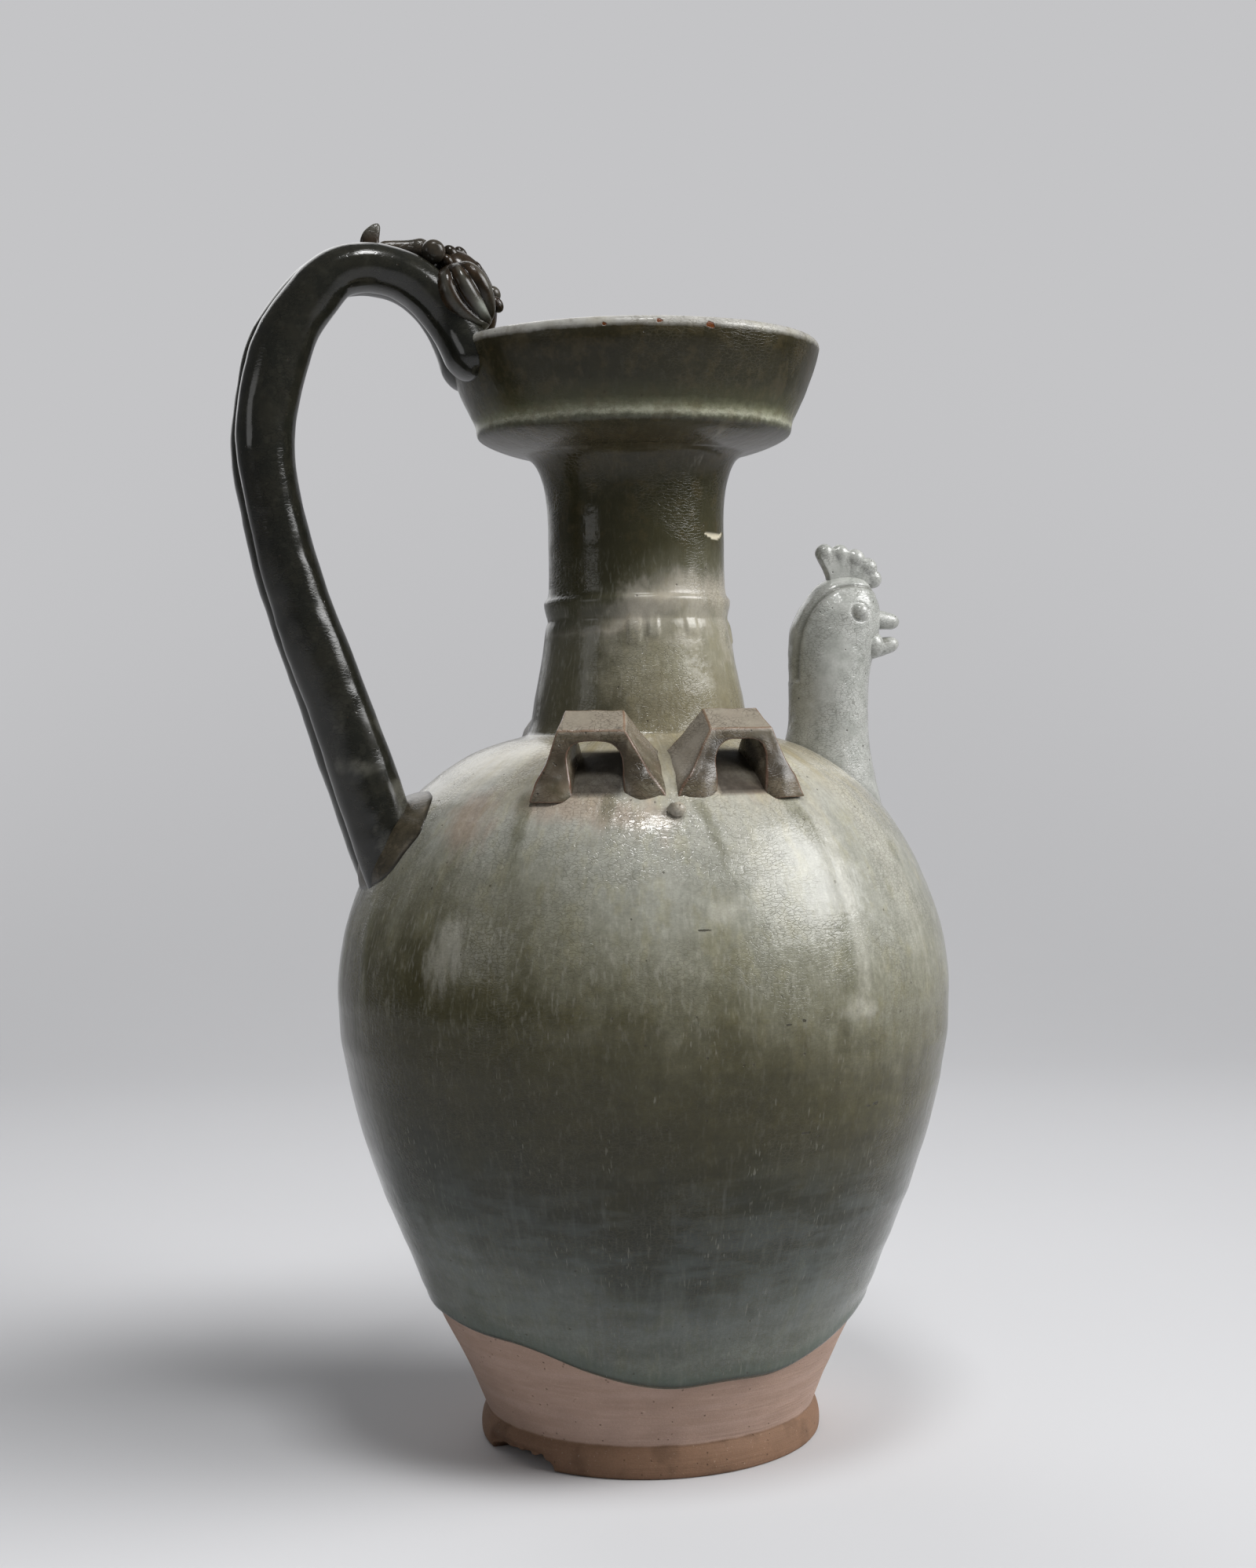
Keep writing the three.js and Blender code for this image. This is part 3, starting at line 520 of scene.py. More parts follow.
def clay_paint():
    """Bare salmon-tan stoneware with turning marks, darker and browner on the foot's flange."""
    p = Paint("bare_clay")
    turning, broad = p.noise(1.1, p.squeezed(0.05)), p.noise(4.5, p.squeezed(0.12), 2.0)
    mottle, grain = p.noise(9.0, detail=4.0), p.noise(0.55, detail=2.0)
    p.colour = srgb(170, 145, 131)
    p.lay(p.span(broad, 0.35, 0.65), (161, 136, 121))
    p.lay(p.span(turning, 0.58, 0.74, 0.0, 0.28), (190, 164, 148))
    flange = p.span(p.add(p.z, p.mul(mottle, 1.2)), 10.9, 12.0, 1.0, 0.0)
    p.lay(flange, (130, 101, 80))
    p.lay(p.mul(flange, p.span(p.noise(14.0), 0.5, 0.66), 0.7), (104, 80, 62))
    p.dim(p.mul(p.wave(mottle, 0.3), p.wave(grain, 0.34)))
    pits = p.specks(3.6, 0.06, 0.11)
    p.lay(p.mul(pits, 0.55), (92, 70, 54))
    p.lay(p.mul(p.span(p.noise(0.8, detail=1.0), 0.68, 0.76), 0.22), (204, 186, 168))
    height = p.add(p.mul(turning, 0.28), p.mul(broad, 0.3), p.mul(grain, 0.1), p.mul(pits, -0.3))
    return p.finish(p.math("MULTIPLY_ADD", mottle, 0.2, 0.62), height, gloss=0.3)


def applied_paint(name, base, second, pale, dark, ridge_tint, cells, rough, thin, gloss=0.5, swing=0.16, bump=1.0):
    """Glaze on the applied pieces: two mixed tones, pale where it is thin and on the dragon's crests a painted
    highlight, dark where it pools and on the lugs painted shade.
    """
    p = Paint(name)
    mottle, fine = p.noise(6.0, detail=4.0), p.noise(0.9, detail=2.0)
    p.colour = srgb(*base)
    p.lay(p.span(p.add(mottle, p.mul(p.noise(19.0, detail=2.0), 0.6)), 0.62, 0.98), second)
    factor = p.mul(p.wave(mottle, 0.3), p.wave(fine, 0.34))
    p.dim(factor)
    p.lay(p.mul(p.span(p.noise(3.2), 0.5, 0.72), thin), pale)
    # Pale tint on ridges: thin glaze, and on the dragon also a painted highlight. Dark: pooled glaze, and on the lugs
    # also painted shade
    p.lay(p.value("ridge"), ridge_tint, factor)
    p.lay(p.mul(p.value("pool"), 0.85), dark)
    lines = p.crackle(cells, p.span(p.noise(15.0, detail=1.0), 0.34, 0.56))
    p.lay(p.mul(lines, 0.42), dark)
    specks = p.specks(4.6, 0.06, 0.1)
    p.lay(p.mul(specks, 0.7), (44, 38, 30))
    height = p.add(
        p.mul(p.noise(1.4, detail=2.0), 0.02), p.mul(p.noise(4.0, detail=2.0), 0.11),
        p.mul(lines, -0.03), p.mul(specks, -0.12),
    )
    return p.finish(p.math("MULTIPLY_ADD", mottle, swing, rough), height, bump, gloss)


body_glaze = glaze_paint("body_glaze", BODY_STOPS, BODY_MARKS, True)
neck_glaze = glaze_paint("neck_glaze", NECK_STOPS, NECK_MARKS, False)
bare_clay = clay_paint()
dark_glaze = applied_paint(
    "handle_glaze", (22, 23, 18), (31, 30, 23), (64, 63, 54), (19, 19, 15), (92, 91, 83),
    cells=3.2, rough=0.07, thin=0.2, bump=0.35,
)
# On the dragon the pale tint on ridges is thin glaze on crests and knobs, and partly a painted highlight in the tone
# of their glints
thin_glaze = applied_paint(
    "dragon_glaze", (35, 29, 20), (50, 38, 26), (60, 52, 38), (13, 10, 7), (150, 154, 146),
    cells=2.4, rough=0.13, thin=0.2, gloss=0.34,
)
lug_glaze = applied_paint(
    "lug_glaze", (112, 101, 85), (86, 79, 62), (150, 144, 128), (38, 31, 23), (168, 159, 145),
    cells=2.2, rough=0.2, thin=0.4, gloss=0.4,
)
lug_edge = applied_paint(
    "lug_edge", (126, 96, 78), (106, 90, 72), (146, 130, 112), (76, 58, 45), (138, 118, 98),
    cells=2.2, rough=0.22, thin=0.4,
)
pale_glaze = applied_paint(
    "cock_glaze", (166, 168, 162), (178, 179, 174), (196, 196, 192), (88, 88, 78), (206, 206, 202),
    cells=1.9, rough=0.03, thin=0.22, gloss=0.55, swing=0.07,
)
pad_glaze = applied_paint(
    "pad_glaze", (80, 73, 58), (60, 55, 43), (122, 110, 92), (28, 25, 19), (92, 72, 56),
    cells=3.0, rough=0.24, thin=0.4, gloss=0.36,
)


# Vessel: outline knots [radius, height] of the outer skin, section by section
FOOT_LEVEL, BELLY_LEVEL, NECK_LEVEL, MOUTH_LEVEL, CROWN_LEVEL = 10.6, 157.6, 250.0, 390.0, 413.5
FOOT_UNDER = [(0, 0), (30, 0), (52, 0), (59.5, 0)]
FOOT_EDGE = [(59.5, 0), (60.3, 0.3), (60.7, 1.1), (60.9, 3.4), (60.7, 5.6), (60.2, 7.6), (59.4, 9.4), (58.7, 10.6)]
LOWER = [
    (58.7, 10.6), (61.1, 16.2), (63.5, 21.9), (66.1, 27.7), (68.8, 33.5), (71.7, 39.3), (74.6, 45.1), (77.4, 50.9),
    (80.6, 56.7), (83.2, 62.4), (85.8, 68.2), (88.4, 73.9), (93.2, 85.4), (97.4, 96.9), (101.2, 108.3),
    (104.5, 119.6), (107.1, 130.9), (109.1, 142.2), (110, 157.6),
]
UPPER = [
    (110, 157.6), (109.9, 164.5), (108.5, 175.7), (105.6, 186.7), (102.3, 196.2), (97.2, 207.4), (90.4, 218.6),
    (86, 224.3), (79.6, 230.6), (75.5, 234.0), (71.1, 237.4), (60.6, 243.6), (50, 247.4), (43.6, 249.0), (41, 250),
]
CONE = [(41, 250), (39.6, 253.8), (38.5, 259.5), (37.3, 265.2), (36.2, 270.9), (35.1, 276.5), (34.2, 282.2),
        (33.2, 288.4), (32.6, 290)]
RIB = [(32.6, 290), (32.7, 291.2), (33.0, 292.2), (33.3, 293.4), (33.8, 295.6), (33.8, 297.4), (32.6, 299.2),
       (32.1, 302)]
TUBE = [(32.1, 302), (32, 312), (32, 326), (32.4, 333.3), (33.3, 339), (35.1, 344.7), (37.2, 348.2), (39.8, 350.2)]
UNDER = [(39.8, 350.2), (45.3, 351.6), (50.6, 353.4), (54.6, 355.3), (56.6, 356.8), (57.1, 358.1)]
WALL = [(57.1, 358.1), (57.7, 361.4), (60, 366), (62.7, 371.5), (64.8, 377.1), (66.6, 382.7), (67.4, 387)]
RIM_RADIUS, LIP_RADIUS = 67.4, 3.0
LIP = [(RIM_RADIUS - LIP_RADIUS * (1 - math.cos(a)), MOUTH_LEVEL - LIP_RADIUS * (1 - math.sin(a)))
       for a in np.radians(range(0, 181, 20))]
# Inner skin from the lip down to the floor
DISH_INSIDE = [(61.4, 387), (60.6, 382.7), (58.8, 377.4), (56.6, 372.2), (53.8, 366.6), (51.0, 362.8), (46.4, 359.8),
               (40.6, 357.6), (36.0, 355.4), (33.8, 350.2)]
BORE = [(33.8, 350.2), (30.6, 346.0), (27.8, 340.0), (26.6, 333.0), (26.5, 318), (26.5, 302), (26.9, 290)]
CONE_INSIDE = [(26.9, 290), (28.7, 278), (31.6, 264), (34.2, 254), (35.5, 250)]
UPPER_INSIDE = [(35.5, 250), (36.6, 244.6), (46, 241.6), (58, 237.4), (68, 232), (78, 224), (88, 211), (96.4, 195),
                (102.4, 176), (104, 157.6)]
LOWER_INSIDE = [(104, 157.6), (103, 142), (99, 121), (92, 98), (83, 75), (73, 52), (64, 32), (61.5, 26), (58, 21.5),
                (50, 18.9), (30, 18.6), (0.6, 18.6)]
# Sections above the belly and inside: the name of their end, their lines and the spacing of their rows
OUTER_SECTIONS = [("neck", [UPPER], 1.5), ("score", [CONE], 1.1), ("dish", [RIB, TUBE], 0.7),
                  ("lip", [UNDER, WALL], 0.9), ("rim", [LIP], 0.6)]
INNER_SECTIONS = [("dish", [DISH_INSIDE], 1.6), ("score", [BORE], 3.0), ("neck", [CONE_INSIDE], 4.0),
                  ("belly", [UPPER_INSIDE], 5.0), ("floor", [LOWER_INSIDE], 7.0)]

# Glaze's lower edge: heights by angle round the vessel, its thickness and bead, and rows close above it
EDGE_LEVELS = [
    (-180, 41), (-150, 44), (-120, 47), (-95, 48.5), (-67, 48.1), (-54, 46.5), (-41, 43.4), (-30, 39), (-20, 35.2),
    (-9, 33.4), (2, 32.9), (16, 33.6), (27, 35), (39, 38.9), (47, 42.4), (62, 46), (85, 47.5), (110, 43),
    (135, 37.5), (158, 37), (180, 41),
]
GLAZE_THICKNESS, THIN_SHARE = 1.15, 0.28
BEAD_RISE, BEAD_LEVEL, BEAD_HALF = 0.75, 2.3, 2.0
EDGE_GAPS = (0, 0.12, 0.3, 0.55, 0.9, 1.4, 2.1, 3, 4.2, 5.8, 7.8, 10.2)
CLAY_ROWS, BELLY_ROWS = 16, 72

angles = np.arange(COLUMNS) * 360 / COLUMNS - 180
edge_level = np.interp(angles, *spline(EDGE_LEVELS, 10).T)
edge_level += 0.5 * np.sin(np.radians(angles * 7 + 40)) + 0.35 * np.sin(np.radians(angles * 13))

# Soft strokes on the wall: places [angle, height], half width, and how far the glaze stands up there
OLIVE_STROKES = [
    ([(22.4, 228), (23.2, 217.1), (24.7, 209.4), (24.2, 194.4), (23.8, 179.4), (23.7, 166.9), (24.6, 152)],
     4.2, 0.35),
    ([(-41.4, 229), (-40.4, 220.4), (-39.7, 211.8), (-39.4, 203)], 3.8, 0.3),
    ([(-0.8, 227), (0.9, 218.5), (2.2, 211.1), (2.6, 204)], 2.4, 0.25),
    ([(-21, 229), (-21.4, 224), (-21.6, 220)], 3.0, 0.2),
    ([(139.5, 228), (140.4, 214), (141.4, 196), (141.0, 178)], 4.0, 0.3),
    ([(-156.6, 228), (-156.0, 212), (-156.4, 190)], 4.0, 0.3),
    ([(178, 227), (178.6, 214), (179, 206)], 3.0, 0.2),
    ([(-90, 186), (-89.4, 172), (-88.8, 158)], 6.5, 0.3),
    ([(-76, 190), (-74, 170), (-73, 150)], 4.0, 0.3),
    ([(79, 222), (78, 208), (77, 196)], 4.0, 0.3),
    ([(101, 222), (102, 206), (103, 190)], 4.0, 0.3),
]
PALE_STROKES = [
    ([(26.2, 222), (27.6, 208), (27.4, 190), (27.2, 170), (26.6, 156)], 4.6, 0.2),
    ([(24.6, 160), (27.6, 157)], 7.0, 0.25),
    ([(-0.4, 194.2), (2.7, 196.4)], 5.0, 0),
    ([(8, 226), (9, 206), (10, 186)], 9.0, 0),
    ([(44, 226), (46, 200), (46, 172)], 11.0, 0),
    ([(-50, 186), (-52, 168)], 8.0, 0),
    ([(117, 222), (119, 200), (120, 176)], 11.0, 0),
    ([(-128, 224), (-126, 200), (-125, 178)], 10.0, 0),
]
PINK_STROKES = [
    ([(-38, 229), (-30, 226.5), (-20, 224), (-10, 219)], 8.0, 0),
    ([(-56, 224), (-53, 211.4)], 11.0, 0),
    ([(8, 230), (16, 230)], 7.0, 0),
    ([(148, 229), (158, 226)], 9.0, 0),
    ([(-172, 229), (-162, 226)], 9.0, 0),
]
# Tears of glaze under the rib: angle, lowest height and half width, and how far the glaze stands up there
TEARS = [(-16, 281.5, 3.0), (-4.4, 284, 2.6), (20.5, 285, 3.2), (70, 282, 2.6), (130, 280, 3.0), (-120, 283, 2.6)]
TEARS_FROM, TEAR_RISE, CONE_RADIUS = 293, 0.55, 34
# Crescent chip in the neck's glaze: angle, height of its corners, half width, sag of its two edges, and depth
CHIP_ANGLE, CHIP_LEVEL, CHIP_HALF, CHIP_SAGS, CHIP_DEPTH, TUBE_RADIUS = 45.5, 321.4, 9, (0.9, 3.0), 0.55, 32
# Bite in the foot's edge: angle and half width in degrees, depth and height
BITE_ANGLE, BITE_HALF, BITE_DEPTH, BITE_HEIGHT = -64.0, 17.0, 2.6, 4.4

# Bridge lugs on the shoulder
LUG = {
    "base_width": 40, "top_width": 22.4, "base_depth": 18.5, "top_depth": 10.4, "height": 16.2, "hole_width": 18.4,
    "hole_height": 13, "corner": 7, "spread": 37, "turn": -6.5, "toe": 5, "lean": 2.4, "back": 0.88, "sunk": -4.0,
}
LUG_REACH = 68.6
LUG_HALF, HOLE_HALF, HALF_DEPTH = LUG["base_width"] / 2, LUG["hole_width"] / 2, LUG["base_depth"] / 2


def stroke_mask(strokes, angle, level, radius, ragged):
    """1 along each stroke's line, fading over its half width, with a ragged border, and the glaze's rise."""
    mask, rise = np.zeros(level.shape), np.zeros(level.shape)
    for line, half, height in strokes:
        nearest = np.full(level.shape, 1e9)
        top, foot = line[0][1], line[-1][1]
        run = np.clip((top - level) / (top - foot + 1e-6), 0, 1)
        for (a0, z0), (a1, z1) in zip(line[:-1], line[1:]):
            turn = np.radians(turned_from(angle, a0)) * radius
            bx, bz = math.radians(a1 - a0) * 100, z1 - z0
            t = np.clip((turn * bx + (level - z0) * bz) / (bx * bx + bz * bz + 1e-9), 0, 1)
            nearest = np.minimum(nearest, np.hypot(turn - bx * t, level - z0 - bz * t))
        one = smooth(1.5, 0.1, nearest / half + ragged * 0.5) * (1 - 0.6 * run**2)
        mask, rise = np.maximum(mask, one), np.maximum(rise, one * height)
    return mask, rise


def unevenness(radius, level, a):
    """Small faults of the throwing: slightly out of round, with faint turning rings."""
    broad = np.stack([np.cos(a) * 40, np.sin(a) * 40, level * 1.6], -1)
    rings = np.stack([np.cos(a) * 0.4 + 9, np.sin(a) * 0.4 + 9, level / 5.5], -1)
    oval = 0.35 * np.cos(2 * a + 0.6) * smooth(60, 160, level)
    size = smooth(0, 60, radius) * smooth(2, 12, level) * smooth(389, 380, level)
    return size * (oval + 0.22 * lattice_noise(rings, 1.0) + 0.14 * lattice_noise(broad, 22.0))


def level_rows(line):
    """Rows of [radii, heights] all round the vessel, one to each point of a line."""
    return [(np.full(COLUMNS, radius), np.full(COLUMNS, height)) for radius, height in line]


def add_sections(rows, cuts, sections):
    """Adds level rows of [radii, heights] for each section, and notes the section's last row."""
    for key, lines, spacing in sections:
        for line in lines:
            rows += level_rows(spaced(spline(line), spacing)[1:])
        cuts[key] = len(rows) - 1


def outer_rows():
    """Rows of the outer skin from the foot's underside up, the sections' last rows and the first glazed row."""
    rows = level_rows([*spaced(FOOT_UNDER, 7.0)[1:-1], *spaced(spline(FOOT_EDGE), 0.7)])
    cuts = {"foot": len(rows) - 1}
    rising = edge_level + EDGE_GAPS[-1]
    levels = [FOOT_LEVEL + (edge_level - FOOT_LEVEL) * i / CLAY_ROWS for i in range(1, CLAY_ROWS)]
    levels += [edge_level + gap for gap in EDGE_GAPS]
    levels += [rising + (BELLY_LEVEL - rising) * step for step in np.linspace(0, 1, BELLY_ROWS)[1:]]
    radii, heights = spline(LOWER).T
    rows += [(np.interp(level, heights, radii), level) for level in levels]
    cuts["belly"] = len(rows) - 1
    add_sections(rows, cuts, OUTER_SECTIONS)
    return rows, cuts, cuts["foot"] + CLAY_ROWS


def wall_points(radius, level):
    """Points of the wall, by row and column."""
    a = np.radians(np.broadcast_to(angles, radius.shape))
    return np.stack([radius * np.sin(a), -radius * np.cos(a), level], -1)


# Values that the vessel's glaze reads, where nothing else is said, and on the kiln grit
PLAIN = {"olive": 0, "pale": 0, "pink": 0, "edge": 60, "bare": 0, "inner": 0}
GRIT = PLAIN | {"olive": 0.5, "pink": 0.6}


def skin(radius, level, **values):
    """A skin's points, normals and values for the glaze, by row and column."""
    points = wall_points(radius, level)
    turn = np.roll(points, -1, axis=1) - np.roll(points, 1, axis=1)
    made = {"points": points, "normals": unit(np.cross(turn, np.gradient(points, axis=0)), 1e-12)}
    for key, plain in PLAIN.items():
        made[key] = np.broadcast_to(values.get(key, plain), level.shape)
    return made


def glaze_thickness(gap):
    """Glaze at a height above its lower edge: a bead, thick above it and thin further up."""
    above = THIN_SHARE + (1 - THIN_SHARE) * smooth(22, 3, gap)
    bead = BEAD_RISE * bell(gap, BEAD_LEVEL, BEAD_HALF) * smooth(0, 1.0, gap)
    return GLAZE_THICKNESS * smooth(0, 1.3, gap) * above * smooth(75, 30, gap) + bead


def neck_tears(angle, level):
    """1 in the tears of glaze that hang from the rib."""
    tears = np.zeros(level.shape)
    for at, low, half in TEARS:
        across = np.abs(np.radians(turned_from(angle, at))) * CONE_RADIUS
        tears = np.maximum(tears, smooth(1.0, 0.5, across / half) * smooth(low - 1.0, low + 0.6, level))
    return tears * smooth(TEARS_FROM, TEARS_FROM - 5, level)


def neck_chip(angle, level):
    """1 in the crescent chip of the neck's glaze."""
    across = np.radians(angle - CHIP_ANGLE) * TUBE_RADIUS
    upper = CHIP_LEVEL - CHIP_SAGS[0] * np.clip(1 - (across / CHIP_HALF) ** 2, 0, 1)
    lower = CHIP_LEVEL - CHIP_SAGS[1] * np.clip(1 - (np.abs(across - 1.5) / CHIP_HALF) ** 2.2, 0, 1)
    inside_edges = smooth(0, 0.35, upper - level) * smooth(0, 0.35, level - lower)
    return inside_edges * (np.abs(across) < CHIP_HALF + 0.5)


def under_lugs_bare_and_shade(angle, level, radius):
    """1 on the shoulder that the four lugs bridge, painted dark there as bare ground and painted shade."""
    ground, out = np.zeros(level.shape), radius - LUG_REACH
    along = smooth(12.6, 10.4, out) * smooth(-12, -8, out) * (level > 220) * (level < NECK_LEVEL - 1)
    for turn in (LUG["turn"] + half + side * LUG["spread"] / 2 for half in (0, 180) for side in (-1, 1)):
        across = np.abs(np.radians(turned_from(angle, turn)) * radius)
        ground = np.maximum(ground, smooth(HOLE_HALF + 1, HOLE_HALF - 0.6, across) * along)
    return ground


def bitten(radius, level, angle, points):
    """Radii and heights with the bite taken out of the foot's lower edge."""
    bite = np.clip(1 - ((angle - BITE_ANGLE) / BITE_HALF) ** 2, 0, 1)
    broken = 1 + 0.35 * lattice_noise(points, 3.0)
    flange = (level < 9.0) & (radius > 48)
    radius = radius - np.where(flange, BITE_DEPTH * bite**0.7 * broken * smooth(7.4, 3.6, level), 0)
    lift = BITE_HEIGHT * bite**0.42 * np.clip(broken, 0.8, 1.3) * smooth(48, 57, radius)
    return radius, np.where(flange, np.maximum(level, lift + 0.12 * level), level)


def outer_skin(rows, glaze_row):
    """The outer skin with its relief: glaze, strokes, tears, chips and the throwing's faults."""
    radius, level = (np.array(part) for part in zip(*rows))
    angle = np.broadcast_to(angles, radius.shape)
    points = wall_points(radius, level)
    gap = level - edge_level
    radius = radius + np.where(np.arange(len(rows))[:, None] >= glaze_row, glaze_thickness(gap), 0)
    radius = radius + unevenness(radius, level, np.radians(angle))
    ragged = lattice_noise(points, 6.0) * 0.5 + lattice_noise(points, 2.4) * 0.3
    (olive, olive_rise), (pale, pale_rise), (pink, _) = (
        stroke_mask(strokes, angle, level, radius, ragged) for strokes in (OLIVE_STROKES, PALE_STROKES, PINK_STROKES)
    )
    body_only = smooth(60, 80, radius) * smooth(300, 280, level)
    tears, chip = neck_tears(angle, level), neck_chip(angle, level)
    radius = radius + (olive_rise + pale_rise) * body_only + TEAR_RISE * tears - CHIP_DEPTH * chip
    bare = np.maximum(chip, under_lugs_bare_and_shade(angle, level, radius))
    radius, level = bitten(radius, level, angle, points)
    return skin(
        radius, level, olive=olive * body_only, pale=np.maximum(pale * body_only, tears * 0.4),
        pink=pink * body_only, edge=np.clip(gap, 0, PLAIN["edge"]), bare=bare,
    )


rows, cuts, glaze_row = outer_rows()
outside = outer_skin(rows, glaze_row)
rows, inner_cuts = [], {}
add_sections(rows, inner_cuts, INNER_SECTIONS)
radius, level = (np.array(part) for part in zip(*rows))
inside = skin(radius, level, inner=smooth(388.5, 384.0, level))


def vessel_piece(name, outer_span, inner_span, materials, slot, caps=None, grit=None):
    """A section as a closed shell of its outer and inner rows. Caps are the kinds of fan below and on top."""
    spans = [(outside, outer_span)] + ([(inside, inner_span)] if inner_span else [])
    chosen = {key: np.concatenate([grid[key][a : b + 1] for grid, (a, b) in spans]) for key in outside}
    points, normals = (chosen.pop(key).reshape(-1, 3) for key in ("points", "normals"))
    values = {key: value.ravel() for key, value in chosen.items()}
    count, last = len(points) // COLUMNS, len(points) - COLUMNS
    first, end = outer_span
    kinds = [int(row < end - first and first + row < glaze_row) for row in range(count - 1) for _ in range(COLUMNS)]
    if caps:
        points = np.vstack([points, points[:COLUMNS].mean(0), points[last:].mean(0)])
        normals = np.vstack([normals, [0, 0, -1], [0, 0, 1]])
        values = {key: np.append(value, [value[0], value[-1]]) for key, value in values.items()}
        faces = capped_faces(count, COLUMNS)
        kinds += caps * COLUMNS
    else:
        faces = ring_faces(count, COLUMNS)
        faces += [[last + i, last + j, j, i] for i, j in enumerate(np.roll(range(COLUMNS), -1).tolist())]
        kinds += [0] * COLUMNS
    if grit:
        normals = np.vstack([normals, unit(grit[0] - grit[0].mean(0))])
        values = {key: np.append(value, np.full(len(grit[0]), GRIT[key])) for key, value in values.items()}
        kinds += [0] * len(grit[1])
        points, faces = joined([(points, faces), grit])
    make_piece(name, points, faces, materials, slot, values, normals, kinds if len(materials) > 1 else None)


SKIN = np.vstack([spline(line, 6) for line in (LOWER, UPPER, CONE, RIB, TUBE, UNDER, WALL)])
SKIN = SKIN[np.argsort(SKIN[:, 1], kind="stable")]


def skin_radius(level):
    """Radius of the plain outer skin at a height."""
    return np.interp(level, SKIN[:, 1], SKIN[:, 0])


def lump(angle, level, lift, sizes, seed, rough=0.22):
    """A small rough ball of kiln grit on the wall."""
    a, radius = math.radians(angle), skin_radius(level) + lift
    grid = ball_grid(14, 24)
    bumps = 1 + rough * lattice_noise(grid * 10 + seed, 6.0) + 0.5 * rough * lattice_noise(grid * 10 + seed, 2.5)
    place = np.array([radius * math.sin(a), -radius * math.cos(a), level])
    return closed_loft(grid * bumps[..., None] * sizes + place)


vessel_piece("foot_disc", (0, cuts["foot"]), None, [body_glaze, bare_clay], "bare_clay", [1, 1])
for name, below, above, inner_below, materials, caps, grit in (
    ("lower_body", "foot", "belly", "floor", [body_glaze, bare_clay], [1, 0], None),
    ("upper_body", "belly", "neck", "belly", [body_glaze], None, lump(-6.0, 225.6, 0.6, (3.4, 3.0, 2.6), 4)),
    ("neck_cone", "neck", "score", "neck", [neck_glaze], None, None),
    ("neck_tube", "score", "dish", "score", [neck_glaze], None, None),
    ("dish_mouth", "dish", "rim", "dish", [neck_glaze], None, None),
):
    inner_span = (inner_cuts.get(above, 0), inner_cuts[inner_below])
    vessel_piece(name, (cuts[below], cuts[above]), inner_span, materials, "body_glaze", caps, grit)


# Handle: control points of its middle line as in the part's source, as shares of its reach and rise
HANDLE_REACH, ROOT_RADIUS = 133.3, 94.2
ROOT_LEVEL = BELLY_LEVEL + 0.6 * (NECK_LEVEL - BELLY_LEVEL)
CLIMB = [
    (-0.26, -0.135), (-0.07, -0.03), (0.18, 0.119), (0.422, 0.259), (0.668, 0.395), (0.862, 0.527),
    (1, 0.699), (0.895, 0.82), (0.767, 0.889), (0.596, 0.938), (0.368, 0.985), (0.092, 1),
]
DESCENT = [
    (0.305, 0.937), (0.199, 0.798), (0.105, 0.571), (0.024, 0.294), (-0.036, 0), (-0.082, -0.336), (-0.108, -0.672),
]
# Shares of the rolls' thickness and of the back roll's lift, along the handle
ROLL_SHARES = [
    (0, 1.28), (0.15, 1.24), (0.3, 1.17), (0.4, 1.1), (0.49, 1.05), (0.58, 1.1), (0.66, 1.15),
    (0.72, 1.04), (0.8, 0.9), (1, 0.9),
]
LIFT_SHARES = [(0, 0), (0.3, 0.1), (0.6, 0.15), (0.68, 0.45), (0.8, 0.7), (0.9, 1), (1, 0.6)]
ROLL_THICKNESS, ROLL_BREADTH, ROLL_LIFT, ROLL_SPREAD, SPREAD_SHARE = 9.2, 10.5, 3.4, 3.0, 0.91
HANDLE_STEP, WALL_BITE = 0.5, 3.0
handle_line = spaced(spline([
    (-(inner + (HANDLE_REACH - inner) * reach), low + (CROWN_LEVEL - low) * rise)
    for inner, low, table in ((ROOT_RADIUS, ROOT_LEVEL, CLIMB), (RIM_RADIUS, MOUTH_LEVEL, DESCENT))
    for reach, rise in table
], 24), HANDLE_STEP)
handle_slope = np.gradient(handle_line, axis=0)


def on_handle(share):
    """Middle and outward direction of the handle at a share of its length, in the plane of X and Z."""
    index = np.arange(len(handle_line))
    middle, run = (
        np.array([np.interp(share * index[-1], index, table[:, i]) for i in (0, 1)])
        for table in (handle_line, handle_slope)
    )
    run = run / np.linalg.norm(run)
    return middle, np.array([-run[1], run[0]])


def keep_in_wall(points):
    """Draws points that would pass through the vessel's wall back into the wall."""
    radius = np.hypot(points[..., 0], points[..., 1])
    floor = skin_radius(points[..., 2]) - WALL_BITE
    factor = np.where((radius < floor) & (points[..., 2] < 386), floor / np.maximum(radius, 1e-6), 1)
    return points * np.stack([factor, factor, np.ones(factor.shape)], -1)


